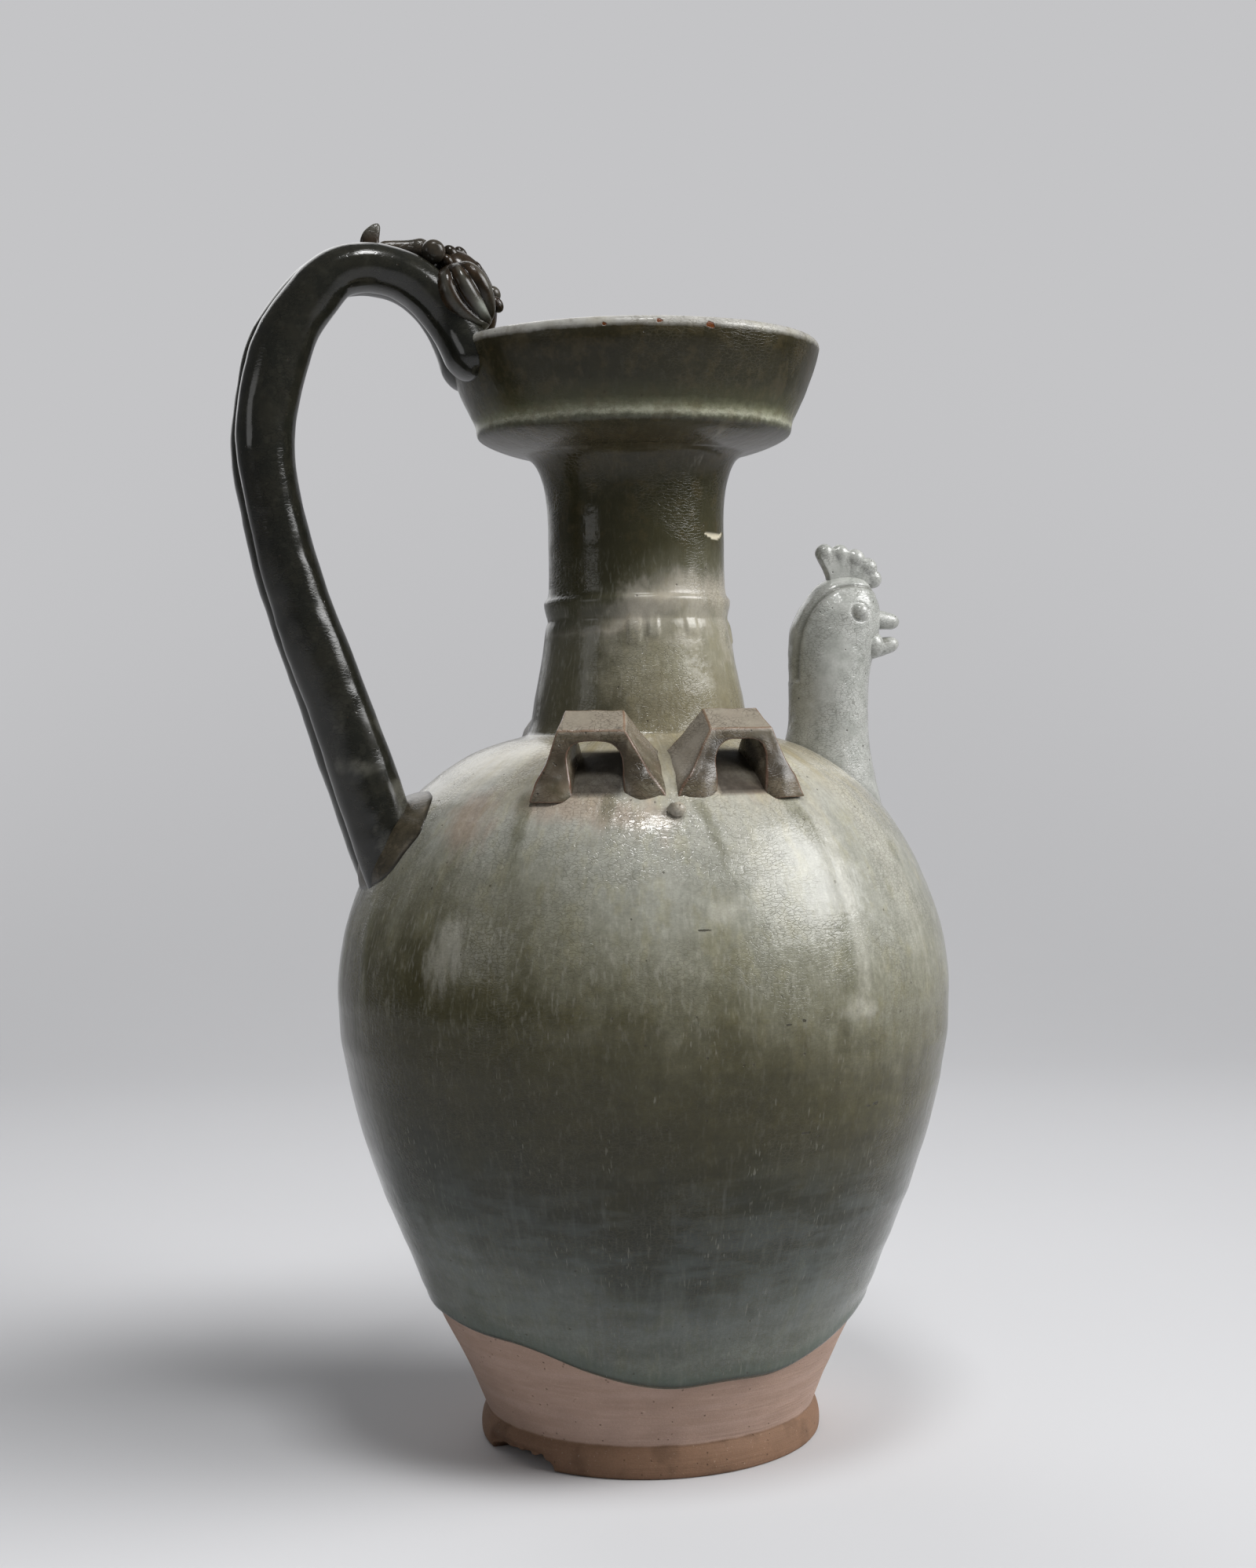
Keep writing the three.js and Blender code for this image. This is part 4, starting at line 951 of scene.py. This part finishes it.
def strand(name, side):
    """One roll of the handle with a rounded tongue, flattened a little against its twin."""
    lon = circle(44)
    tip = 1 - ROLL_BREADTH / (HANDLE_STEP * (len(handle_line) - 1))
    stations = [(tip * i / 190, 1.0) for i in range(191)]
    stations += [(tip + (1 - tip) * math.sin(t), math.cos(t)) for t in np.radians(np.linspace(6, 84, 14))]
    c, s = np.cos(lon), np.sin(lon)
    c = np.where(c * -side > 0, np.sign(c) * np.abs(c) ** 0.72, c)
    rings = []
    for share, width in stations:
        middle, outward = on_handle(share)
        breadth = ROLL_BREADTH + ROLL_SPREAD * smooth(SPREAD_SHARE, 1, share)
        lift = ROLL_LIFT * eased(LIFT_SHARES, share) if side > 0 else 0.0
        thick = ROLL_THICKNESS * eased(ROLL_SHARES, share) * width
        x, z = (middle + outward * lift)[:, None] + outward[:, None] * s * thick
        rings.append(np.stack([x, side * (breadth + 0.1) + c * breadth * width, z], -1))
    rings = np.array(rings)
    bumps = lattice_noise(rings * np.array([1, 1, 0.5]), 14.0) * 0.35 + lattice_noise(rings, 5.0) * 0.16
    points, faces = closed_loft(keep_in_wall(swollen(rings, bumps)))
    # Pooled glaze in the groove between the rolls, and pale smudges low on the handle
    pool = rows_to_points(rings.shape[:2], smooth(-0.86, -0.99, np.cos(lon) * side) * 0.8)
    shares = np.append(np.repeat([share for share, _ in stations], len(lon)), [0, 1])
    smudge = smooth(-0.05, 0.35, lattice_noise(points, 8.0) + 0.4 * lattice_noise(points, 3.0))
    ridge = 0.06 * smooth(0.05, 0.2, shares) + 0.65 * smudge * smooth(0.28, 0.18, shares)
    applied(f"handle_strand_{name}", (points, faces), dark_glaze, "dark_glaze", ridge, pool)


def root_pad():
    """Clay pad round the handle's root: a low cushion that thins to a crisp edge on the shoulder."""
    half_width, half_length, thick, edge, rounds = 33.0, 21.0, 4.6, 0.9, 26
    lon = circle(96)
    top, under = [], []
    for share in np.arange(1, rounds + 1) / rounds:
        reach = share * (1 + 0.035 * np.sin(3 * lon + 1) + 0.025 * np.sin(7 * lon))
        level = ROOT_LEVEL + 1.5 + half_length * reach * np.sin(lon) * 0.80
        radius = skin_radius(level)
        turn = half_width * reach * np.cos(lon) / radius
        height = thick * (1 - share**2.4) + edge * (1 - share**9)
        for rings, lift in ((top, height), (under, -1.6)):
            r = radius + lift * 0.8
            rings.append(np.stack([-r * np.cos(turn), r * np.sin(turn), level + lift * 0.6], -1))
    rings = np.array([*under, *top[::-1]])
    rings += 0.25 * lattice_noise(rings, 7.0)[..., None]
    points, faces = closed_loft(rings[::-1])
    proud = np.hypot(points[:, 0], points[:, 1]) - skin_radius(points[:, 2])
    applied("handle_root_pad", (points, faces), pad_glaze, "dark_glaze", pool=smooth(1.0, 0.2, proud))


SIDES = (("front", -1), ("back", 1))
for name, side in SIDES:
    strand(name, side)
root_pad()


# Dragon's head over the rim, in its own axes [along, across, outward]
DRAGON = np.array([33, 24, 17])
CHEEK = np.array([26, 21, 22])
DRAGON_INSET, DRAGON_LIFT, DRAGON_TILT = 6.7, 17.9, math.radians(58)
TAPER = 0.17
# Knobs between the eyes and the brow, and small lumps of the muzzle: place and radius
KNOBS = [
    (-13.6, 5.2, 1.2, 2.9), (-13.6, -5.2, 1.2, 2.9), (-12.2, 0, 5.4, 2.6), (-11.8, 8.4, -2.0, 2.3),
    (-11.8, -8.4, -2.0, 2.3), (-5.0, 4.4, 6.4, 2.4), (-5.0, -4.4, 6.4, 2.4), (9.6, 6.4, 5.4, 2.5),
    (9.6, -6.4, 5.4, 2.5),
]


def on_dragon(points, place=(0, 0, 0)):
    """A closed loft of rings in the head's own axes, moved to its place over the rim."""
    p = points + np.array(place) * DRAGON / 2
    x = p[..., 0] * math.cos(DRAGON_TILT) + p[..., 2] * math.sin(DRAGON_TILT)
    z = -p[..., 0] * math.sin(DRAGON_TILT) + p[..., 2] * math.cos(DRAGON_TILT)
    return closed_loft(np.stack([x + DRAGON_INSET - RIM_RADIUS, p[..., 1], z + MOUTH_LEVEL + DRAGON_LIFT], -1))


def egg(rows, columns, size):
    """A ball grid of a size that narrows toward the snout, and its directions."""
    grid = ball_grid(rows, columns)
    narrow = 1 - TAPER * grid[..., :1]
    return grid * size / 2 * np.concatenate([np.ones(narrow.shape), narrow, narrow], -1), grid


def dragon_core():
    """The head with a brow over the snout, and its knobs."""
    rows, grid = egg(56, 88, DRAGON)
    snout = smooth(0.1, 0.7, grid[..., 2]) * smooth(-0.9, -0.2, grid[..., 0]) * smooth(0.9, 0.4, grid[..., 0])
    brow = bell(rows[..., 1], 0, 3.2) * snout
    folds = np.cos(rows[..., 1] * 1.15) * 0.35 * snout
    rows[..., 2] += 0.9 * brow + folds
    parts = [on_dragon(rows)]
    parts += [on_dragon(ball_grid(14, 22) * size * np.array([1.25, 1, 0.9]) + place) for *place, size in KNOBS]
    loft = joined(parts)
    # Brow and the tops of the folds paler: thin glaze, and partly a painted highlight
    ridge = np.zeros(len(loft[0]))
    ridge[: brow.size] = np.clip(0.1 * brow + 0.2 * np.clip(folds, 0, 1), 0, 1).ravel()
    applied("dragon_head", loft, thin_glaze, "thin_glaze", ridge)


def dragon_cheek(name, side):
    """Cheek with flutes that fan out from behind the eye towards the mouth."""
    rows, grid = egg(84, 128, CHEEK)
    along, outward = rows[..., 0].copy(), rows[..., 2].copy()
    mouth, eye = (np.arctan2(outward - z, along - x) for x, z in ((13.6, 4.4), (-16.4, 5.0)))
    fan = np.degrees(np.mod(eye - mouth, 2 * math.pi))
    phase = (fan - 108 + 6 * np.sin(np.radians(fan * 3.1))) * math.pi / 46
    crest = np.abs(np.cos(phase)) ** 0.7
    open_side = smooth(-0.25, 0.35, grid[..., 1] * side)
    fade = smooth(-1.0, -0.8, grid[..., 0]) * smooth(1.02, 0.8, grid[..., 0]) * open_side
    rows[..., 1] += side * (crest - 0.62) * 2.2 * fade
    rows[..., 2] += np.sign(rows[..., 2]) * (crest - 0.6) * 0.9 * fade
    # Pale flute crests, thin glaze and partly a painted highlight, a pale patch of glaze toward the mouth, and pooled
    # glaze between the flutes
    patch = bell(along, 6.4, 3.0) * bell(outward, 2.0, 2.2)
    ridge = np.clip(smooth(0.86, 1.0, crest) * fade * 0.14 + 0.85 * patch * open_side, 0, 1)
    ridge, pool = (rows_to_points(fan.shape, value) for value in (ridge, smooth(0.4, 0.16, crest) * fade))
    applied(f"dragon_cheek_{name}", on_dragon(rows, (0.16, side * 1.2, -0.66)), thin_glaze, "thin_glaze", ridge, pool)


def dragon_eye(name, side):
    """Clay pellet with a dimple."""
    grid = ball_grid(26, 40)
    size = 4.2 - 0.35 * bell(grid[..., 1] * side, 1, 0.1)
    loft = on_dragon(grid * size[..., None] * np.array([1.04, 0.96, 1.0]), (-1.045, side * 0.72, -0.52))
    applied(f"dragon_eye_{name}", loft, thin_glaze, "thin_glaze", 0.06)


def rod(knots, radii, flat_share, step=0.6, bump=None):
    """A round strip of clay along a line in the plane of X and Z, closed with round ends."""
    line = spaced(spline(knots, 16), step)
    share = np.linspace(0, 1, len(line))
    size = np.interp(share, *zip(*radii))
    if bump:
        at, wide, rise = bump
        size = size + rise * bell(share, at, wide)
    run = unit(np.gradient(line, axis=0), 0)
    from_end = np.minimum(share, 1 - share) * step * (len(line) - 1)
    cap = np.where(from_end > size, 1, np.sqrt(np.clip(1 - (1 - from_end / size) ** 2, 0.0004, 1)))
    c, s = (wave(circle(32)) * (size * cap)[:, None] for wave in (np.cos, np.sin))
    return closed_loft(np.stack([line[:, :1] - run[:, 1:] * s, c * flat_share, line[:, 1:] + run[:, :1] * s], -1))


def spike(crown):
    """The horn on the crown: a flattened blade that leans to the dragon's head."""
    outline = [(-0.8, -3.0), (-0.3, 1.0), (0.0, 4.0), (1.2, 6.5), (3.3, 8.4), (5.0, 9.3), (6.3, 9.4), (7.0, 8.3),
               (6.9, 6.0), (6.6, 3.6), (6.9, 1.2), (7.6, -3.0)]
    line = spaced(spline(outline, 10), 0.35)
    blade = np.vstack([line, spaced([line[-1], line[0]], 0.35)[1:-1]])
    middle = blade.mean(0)
    rings = []
    for t in np.linspace(-1, 1, 17):
        ring = middle + (blade - middle) * (0.45 + 0.55 * math.sqrt(max(1 - abs(t) ** 2.6, 0.02)))
        rings.append(np.stack([ring[:, 0] - 98.1, np.full(len(ring), 2.1 * t), ring[:, 1] + crown], -1))
    points, faces = closed_loft(rings)
    ridge = 0.2 * smooth(crown + 2, crown + 8, points[:, 2])
    applied("dragon_crest", (points, faces), thin_glaze, "thin_glaze", ridge)


dragon_core()
for name, side in SIDES:
    dragon_cheek(name, side)
    dragon_eye(name, side)
nose = on_dragon(ball_grid(22, 32) * 2.9 * np.array([1.1, 1.15, 0.95]), (0.33, 0, 0.92))
applied("dragon_nose", nose, thin_glaze, "thin_glaze", 0.12)
crown = CROWN_LEVEL + ROLL_THICKNESS * eased(ROLL_SHARES, 0.81)
strip = rod(
    [(-92.2, crown + 0.45), (-86, crown + 0.75), (-80, crown + 0.85), (-73.0, crown + 0.65)],
    [(0, 2.8), (0.5, 3.0), (0.8, 3.5), (1, 3.7)], 0.92, bump=(0.78, 0.12, 0.5),
)
applied("dragon_nape_ridge", strip, thin_glaze, "thin_glaze", 0.08)
spike(crown)


# Cockerel on the shoulder: shares of its height, and of its radius to the back, the front and the sides
COCK_REACH, COCK_RADIUS, COCK_RISE = 72.4, 14.4, 55.8
COCK_BASE = float(np.interp(-(COCK_REACH + COCK_RADIUS), [-r for r, _ in UPPER], [z for _, z in UPPER])) - 6
COCK_HEIGHT = NECK_LEVEL + COCK_RISE - COCK_BASE
COCK_SHARES = [
    (0, 1.5, 1.42, 1.3), (0.21, 1.28, 1.12, 1.1), (0.32, 1.15, 1.02, 1.02), (0.41, 1.04, 1.01, 1),
    (0.53, 1.03, 1.03, 0.98), (0.64, 1.03, 1.13, 0.96), (0.72, 1.02, 1.29, 0.93), (0.787, 0.97, 1.38, 0.9),
    (0.855, 0.79, 1.4, 0.85), (0.909, 0.57, 1.33, 0.74), (0.956, 0.35, 1.2, 0.55), (0.985, 0.12, 1.05, 0.38),
    (1.0, -0.12, 0.9, 0.22), (1.005, -0.4, 0.66, 0.06),
]
# Incised arc round the face, from behind the comb down the side of the neck: shares of radius and height
ARC = [(1.18, 0.952), (0.85, 0.96), (0.5, 0.963), (0.2, 0.957), (-0.06, 0.94), (-0.31, 0.912), (-0.52, 0.878),
       (-0.69, 0.835), (-0.82, 0.785), (-0.91, 0.722), (-0.95, 0.643), (-0.96, 0.58)]
EYE_PLACE = (0.62, 0.853)
COMB_LOBES = [(-0.05, 1.105, 3.5), (0.36, 1.1, 3.7), (0.77, 1.078, 4.0), (1.11, 1.043, 3.8), (1.25, 0.996, 3.5)]
COMB_WEB = [(0.08, 0.96), (0.0, 1.02), (-0.2, 1.08), (-0.2, 1.108), (0.0, 1.125), (0.2, 1.12), (0.4, 1.126),
            (0.6, 1.108), (0.82, 1.1), (1.0, 1.075), (1.18, 1.052), (1.34, 1.015), (1.34, 0.985), (1.15, 0.975),
            (0.7, 0.96)]


def on_cock(reach, rise, y=0.0):
    """A place on the cockerel, by shares of its radius and height."""
    return np.array([COCK_REACH + reach * COCK_RADIUS, y, COCK_BASE + COCK_HEIGHT * rise])


def cock_body():
    """Neck and head with the incised line round the face and the eye's socket, and the jowls."""
    lon = circle(176)
    rings = np.array([
        on_cock((front - back) / 2, rise) + COCK_RADIUS * np.stack(
            [np.cos(lon) * (front + back) / 2, np.sin(lon) * width, 0 * lon], -1
        )
        for rise, back, front, width in spline(COCK_SHARES, 16)
    ])
    flat = rings[..., ::2]
    line = np.array([on_cock(*place)[::2] for place in spline(ARC, 10)])
    nearest = np.min(np.linalg.norm(flat[:, :, None] - line, axis=-1), axis=-1)
    on_side = smooth(0.1, 0.35, np.abs(np.sin(lon)))
    groove, bank = bell(nearest, 0, 0.62) * on_side, bell(nearest, 1.5, 0.8) * on_side
    socket = bell(np.linalg.norm(flat - on_cock(*EYE_PLACE)[::2], axis=-1), 3.5, 0.55)
    bumps = 0.16 * lattice_noise(rings, 6.0) + 0.1 * lattice_noise(rings, 2.6)
    body = closed_loft(keep_in_wall(swollen(rings, bumps - 0.62 * groove + 0.16 * bank - 0.24 * socket)))
    # Jowls behind the beaks
    jowl = ball_grid(24, 40) * np.array([4.9, 4.9, 5.2])
    jowls = [closed_loft(jowl + on_cock(1.06, 0.717, y)) for y in (-4.6, 4.6)]
    points, faces = joined([body, *jowls])
    pool = np.zeros(len(points))
    pool[: groove.size] = (groove * 0.75 + socket * 0.3).ravel()
    wall = skin_radius(points[:, 2])
    low = smooth(wall + 3.2, wall + 0.6, np.hypot(points[:, 0], points[:, 1]))
    applied("cock_neck", (points, faces), pale_glaze, "pale_glaze", pool=np.maximum(pool, low * 0.35))


def comb():
    """Lobes that run down into a thin web, skinned as one."""
    parts = []
    lon = circle(20)
    for reach, rise, size in COMB_LOBES:
        centre, foot = on_cock(reach, rise), on_cock(0.45 + (reach - 0.45) * 0.5, 0.985)
        parts.append(closed_loft(ball_grid(16, 28) * size * np.array([1, 0.9, 1]) + centre))
        parts.append(closed_loft([
            centre + (foot - centre) * t
            + size * (0.92 - 0.2 * t) * np.stack([np.cos(lon), np.sin(lon) * 0.86, 0 * lon], -1)
            for t in np.linspace(1, 0, 9)
        ]))
    parts.append(closed_loft([[on_cock(reach, rise, y) for reach, rise in COMB_WEB] for y in (-2.5, 2.5)]))
    piece = applied("cock_comb", joined(parts), pale_glaze, "pale_glaze")
    fused(piece, 0.3, 5)
    set_values(piece.data, {"ridge": 0.12, "pool": 0.0})


cock_body()
comb()
for name, side in SIDES:
    eye = ball_grid(22, 36) * np.array([3.0, 2.3, 3.0]) + on_cock(*EYE_PLACE, side * 0.8 * COCK_RADIUS)
    applied(f"cock_eye_{name}", closed_loft(eye), pale_glaze, "pale_glaze", 0.25)
for name, reach, rise, pitch, curve, long, seam in (
    ("upper", 1.1, 0.826, 0, -1.5, 12.2, 0.0), ("lower", 1.06, 0.7, 9, 0.6, 12.6, 0.8),
):
    start = on_cock(reach, rise)[::2]
    ahead = np.array([math.cos(math.radians(pitch)), math.sin(math.radians(pitch))])
    knots = [start + ahead * long * s + np.array([0, curve * s**2]) for s in (0, 0.33, 0.66, 1)]
    points, faces = rod(knots, [(0, 3.9), (0.45, 3.5), (0.8, 2.9), (1, 2.3)], 1.1, step=0.35)
    pool = seam * smooth(1.2, 2.4, points[:, 2] - start[1]) * smooth(9.5, 6.5, points[:, 0] - start[0])
    applied(f"cock_beak_{name}", (points, faces), pale_glaze, "pale_glaze", 0.15, pool)


# Bridge lugs
shoulder = spline(UPPER)


def shoulder_level(radius):
    """Height of the shoulder at a radius."""
    return float(np.interp(-radius, -shoulder[:, 0], shoulder[:, 1]))


# Rise of the shoulder across a lug's depth
LUG_SLOPE = (shoulder_level(LUG_REACH - HALF_DEPTH) - shoulder_level(LUG_REACH + HALF_DEPTH)) / LUG["base_depth"]


def lug_mesh(side):
    """A tapered bridge in its own axes: outer facets, and an arched hole cut right through."""
    height, corner, sunk, full = LUG["hole_height"], LUG["corner"], LUG["sunk"], LUG["height"]
    top = LUG["top_width"] / 2
    inner = [(HOLE_HALF, sunk), (HOLE_HALF, (height - corner) / 2)]
    inner += [(HOLE_HALF - t * t * corner, height - (1 - t) ** 2 * corner) for t in np.linspace(0, 1, 7)]
    split, count = 4, len(inner)
    levels = [sunk + (full - sunk) * i / split for i in range(split + 1)]
    outer = [(LUG_HALF + (top - LUG_HALF) * z / full, z) for z in levels]
    outer += [(top * (1 - i / (count - split)), full) for i in range(1, count - split)]
    points = []
    for deep in (0, 1):
        for half in (outer, inner):
            for x, z in half + [(-x, z) for x, z in reversed(half)]:
                share = z / full
                depth = (LUG["base_depth"] + (LUG["top_depth"] - LUG["base_depth"]) * share) / 2
                y = depth * (2 * deep - 1)
                points.append((x * (LUG["back"] if deep else 1) + side * share * LUG["lean"], y, z + y * LUG_SLOPE))
    steps = 2 * count
    front, hole, back, back_hole = (steps * k for k in range(4))
    faces = []
    for i in range(steps - 1):
        faces += [
            [front + i, front + i + 1, hole + i + 1, hole + i],
            [back + i + 1, back + i, back_hole + i, back_hole + i + 1],
            [front + i + 1, front + i, back + i, back + i + 1],
            [hole + i, hole + i + 1, back_hole + i + 1, back_hole + i],
        ]
    end = steps - 1
    faces += [[front, hole, back_hole, back], [back + end, back_hole + end, hole + end, front + end]]
    return points, faces


def lug_feet(points, rise):
    """Rounds the lug's feet out over the shoulder, fullest in the middle of each leg."""
    out = points.copy()
    across, deep = points[:, 0], points[:, 1]
    middle = (LUG_HALF + HOLE_HALF) / 2
    leg = np.clip((np.abs(across) - middle) / (LUG_HALF - middle), -1.2, 1.2)
    low = smooth(7.5, 0.5, rise)
    face = smooth(0.35, 0.85, np.abs(deep) / HALF_DEPTH)
    out[:, 1] += np.sign(deep) * face * low * (0.5 + 2.0 * np.clip(1 - leg**2, 0, 1))
    out[:, 0] += np.sign(across) * low * (1.1 * smooth(0.3, 1.0, leg) - 0.5 * smooth(-0.3, -1.0, leg))
    bend = [lattice_noise(points + k, 6.0) * 0.3 + lattice_noise(points + k, 2.2) * 0.1 for k in (0, 40, 80)]
    return out + np.stack(bend, -1)


def place_lug(points, base_angle, side):
    """Sets a lug on the shoulder, toed in and turned to its place."""
    place = np.array([0, -LUG_REACH, shoulder_level(LUG_REACH)])
    for shift, turn in ((0, -side * LUG["toe"]), (place, LUG["turn"] + base_angle + side * LUG["spread"] / 2)):
        x, y, z = (points + shift).T
        c, s = math.cos(math.radians(turn)), math.sin(math.radians(turn))
        points = np.stack([x * c - y * s, x * s + y * c, z], -1)
    return points


def lug(name, base_angle, side):
    """A lug with bevelled edges, soft feet, dark glaze where it meets the shoulder, front faces darkened by pooled
    glaze and painted shade, painted shade inside its hole, and thin glaze on its upper edge.
    """
    piece = make_piece(name, *lug_mesh(side), [lug_glaze, lug_edge], "thin_glaze", {})
    mesh = piece.data
    bm = bmesh.new()
    bm.from_mesh(mesh)
    bmesh.ops.recalc_face_normals(bm, faces=bm.faces)
    sharp = [e for e in bm.edges if len(e.link_faces) == 2 and e.calc_face_angle() > math.radians(24)]
    bmesh.ops.bevel(
        bm, geom=sharp, offset=0.5 * MM, segments=2, profile=0.6, affect="EDGES", material=1, clamp_overlap=True
    )
    for longest, splits in ((2.4, 3), (1.5, 1)):
        long = [e for e in bm.edges if e.calc_length() > longest * MM]
        bmesh.ops.subdivide_edges(bm, edges=long, cuts=splits, use_grid_fill=True)
    bmesh.ops.triangulate(bm, faces=[f for f in bm.faces if len(f.verts) > 4])
    bm.to_mesh(mesh)
    bm.free()
    local = np.array([v.co for v in mesh.vertices]) / MM
    across, deep = local[:, 0], -local[:, 1] / HALF_DEPTH
    rise = local[:, 2] - local[:, 1] * LUG_SLOPE
    placed = place_lug(lug_feet(local, rise), base_angle, side)
    mesh.vertices.foreach_set("co", (placed * MM).astype(np.float32).ravel())
    mesh.shade_smooth()
    mesh.update()
    # Front faces darker for pooled glaze and painted shade, a little more on the front right lug and its twin at the
    # back; painted shade inside the hole
    face = smooth(0.5, 0.8, deep) * smooth(0, 3, rise)
    painted_arch_shade = smooth(HOLE_HALF + 0.6, HOLE_HALF - 0.1, np.abs(across))
    painted_arch_shade = painted_arch_shade * smooth(LUG["hole_height"] + 0.8, LUG["hole_height"], rise)
    blot = 0.5 + 0.5 * lattice_noise(local + 17, 5.0)
    slant = LUG_HALF - (LUG["base_width"] - LUG["top_width"]) / 2 * rise / LUG["height"]
    inward = smooth(4.6, 3.4, slant + side * across) * (side > 0) * smooth(0.98, 0.8, deep)
    joint = smooth(1.8, -0.2, np.hypot(placed[:, 0], placed[:, 1]) - skin_radius(placed[:, 2]))
    # Dark value: glaze at the joint, pooled glaze and painted shade on the front faces, painted shade in the hole
    set_values(mesh, {
        "ridge": np.maximum(0.6 * smooth(LUG["height"] - 1.6, LUG["height"] - 0.2, rise), 0.7 * inward),
        "pool": np.maximum.reduce([0.5 * joint, (0.5 + 0.08 * (side > 0) + 0.36 * blot) * face, 0.85 * painted_arch_shade]),
    })


for name, base_angle, left in (("front", 0, -1), ("back", 180, 1)):
    lug(f"lug_{name}_left", base_angle, left)
    lug(f"lug_{name}_right", base_angle, -left)


# Floor, backdrop, lamps and camera, in metres
BACKDROP = srgb(196, 196, 198)
AIM = Vector((0, 0, 0.2))
VIEW_ANGLE = -14.0


def aside(angle):
    """Level direction from the vessel at an angle round it."""
    return Vector((math.sin(math.radians(angle)), -math.cos(math.radians(angle)), 0))


def for_camera_rays(tree, share, shading, plain, output):
    """Shows a plain colour instead of the shading to the share of the rays."""
    plain.inputs[0].default_value = BACKDROP
    choice = tree.nodes.new("ShaderNodeMixShader")
    for source, socket in zip((share, shading.outputs[0], plain.outputs[0]), choice.inputs):
        tree.links.new(source, socket)
    tree.links.new(choice.outputs[0], output.inputs[0])


def floor_paint():
    """Pale floor that takes the object's shadow, and far from it the world's own tone for camera rays."""
    p = Paint("sweep")
    tone = p.noise(260.0, detail=2.0)
    p.colour = srgb(214, 214, 216)[:3]
    p.dim(p.wave(tone, 0.03))
    p.finish(p.math("MULTIPLY_ADD", tone, 0.1, 0.8), p.mul(tone, 0.01), gloss=0.1)
    far = p.span(p.vector("LENGTH", p.place), 650.0, 1700.0)
    share = p.mul(far, p.node("LightPath").outputs["Is Camera Ray"])
    for_camera_rays(p.tree, share, p.shader, p.node("Emission"), p.output)
    return p.material


def sweep():
    """A floor that curves up into a backdrop."""
    half, near, depth, radius, height = 3.2, -2.6, 1.5, 0.7, 3.2
    toward, right = aside(VIEW_ANGLE), aside(VIEW_ANGLE + 90)
    line = [(near, 0.0), (depth - radius, 0.0)]
    line += [(depth - radius + radius * math.sin(t), radius * (1 - math.cos(t))) for t in np.radians(range(6, 91, 6))]
    line += [(depth, height)]
    points = [right * s - toward * away + Vector((0, 0, z)) for away, z in line for s in (-half, half)]
    mesh = bpy.data.meshes.new("sweep")
    mesh.from_pydata(points, [], [[2 * i, 2 * i + 1, 2 * i + 3, 2 * i + 2] for i in range(len(line) - 1)])
    mesh.materials.append(floor_paint())
    mesh.shade_smooth()
    floor = bpy.data.objects.new("sweep", mesh)
    bpy.context.scene.collection.objects.link(floor)


def lamp(name, azimuth, elevation, distance, width, height, power, spread=180):
    """A soft box at an azimuth from the camera's side, aimed at the vessel."""
    e = math.radians(elevation)
    place = AIM + distance * (aside(VIEW_ANGLE + azimuth) * math.cos(e) + Vector((0, 0, math.sin(e))))
    light = bpy.data.lights.new(name, "AREA")
    light.shape, light.size, light.size_y = "RECTANGLE", width, height
    light.energy, light.spread = power, math.radians(spread)
    holder = bpy.data.objects.new(name, light)
    holder.location = place
    holder.rotation_euler = (AIM - place).to_track_quat("-Z", "Y").to_euler()
    holder.visible_camera = False
    bpy.context.scene.collection.objects.link(holder)


sweep()
lamp("key_right", 78, 34, 2.7, 2.3, 1.5, 14.4, 60)
lamp("top", 12, 70, 1.3, 0.3, 0.3, 7)
lamp("left_window", -60, 17, 1.45, 0.5, 0.5, 1.1)
lamp("back_fill", -158, 32, 1.35, 1.2, 1.2, 1.15, 70)
world = bpy.data.worlds.new("studio")
world.use_nodes = True
nodes = world.node_tree.nodes
ambient = nodes["Background"]
ambient.inputs[0].default_value = srgb(226, 228, 232)
ambient.inputs[1].default_value = 0.14
is_camera_ray = nodes.new("ShaderNodeLightPath").outputs["Is Camera Ray"]
for_camera_rays(world.node_tree, is_camera_ray, ambient, nodes.new("ShaderNodeBackground"), nodes["World Output"])
bpy.context.scene.world = world

# Camera from the photograph's fit: level, turned a little, with its distance from the axis and its height
EYE_DISTANCE, EYE_LEVEL, ROLL = 0.8107, 0.2594, math.radians(0.96)
camera_data = bpy.data.cameras.new("camera")
camera_data.sensor_width, camera_data.lens, camera_data.clip_start = 36, 51.38, 0.05
camera_data.shift_x, camera_data.shift_y = -0.00686, -0.0492
camera = bpy.data.objects.new("camera", camera_data)
bpy.context.scene.collection.objects.link(camera)
toward, right, up = aside(VIEW_ANGLE), aside(VIEW_ANGLE + 90), Vector((0, 0, 1))
camera_right = right * math.cos(ROLL) - up * math.sin(ROLL)
camera_up = up * math.cos(ROLL) + right * math.sin(ROLL)
basis = Matrix((camera_right, camera_up, toward)).transposed().to_4x4()
basis.translation = toward * EYE_DISTANCE + up * EYE_LEVEL
camera.matrix_world = basis
bpy.context.scene.camera = camera
bpy.context.scene.view_settings.view_transform = "Standard"
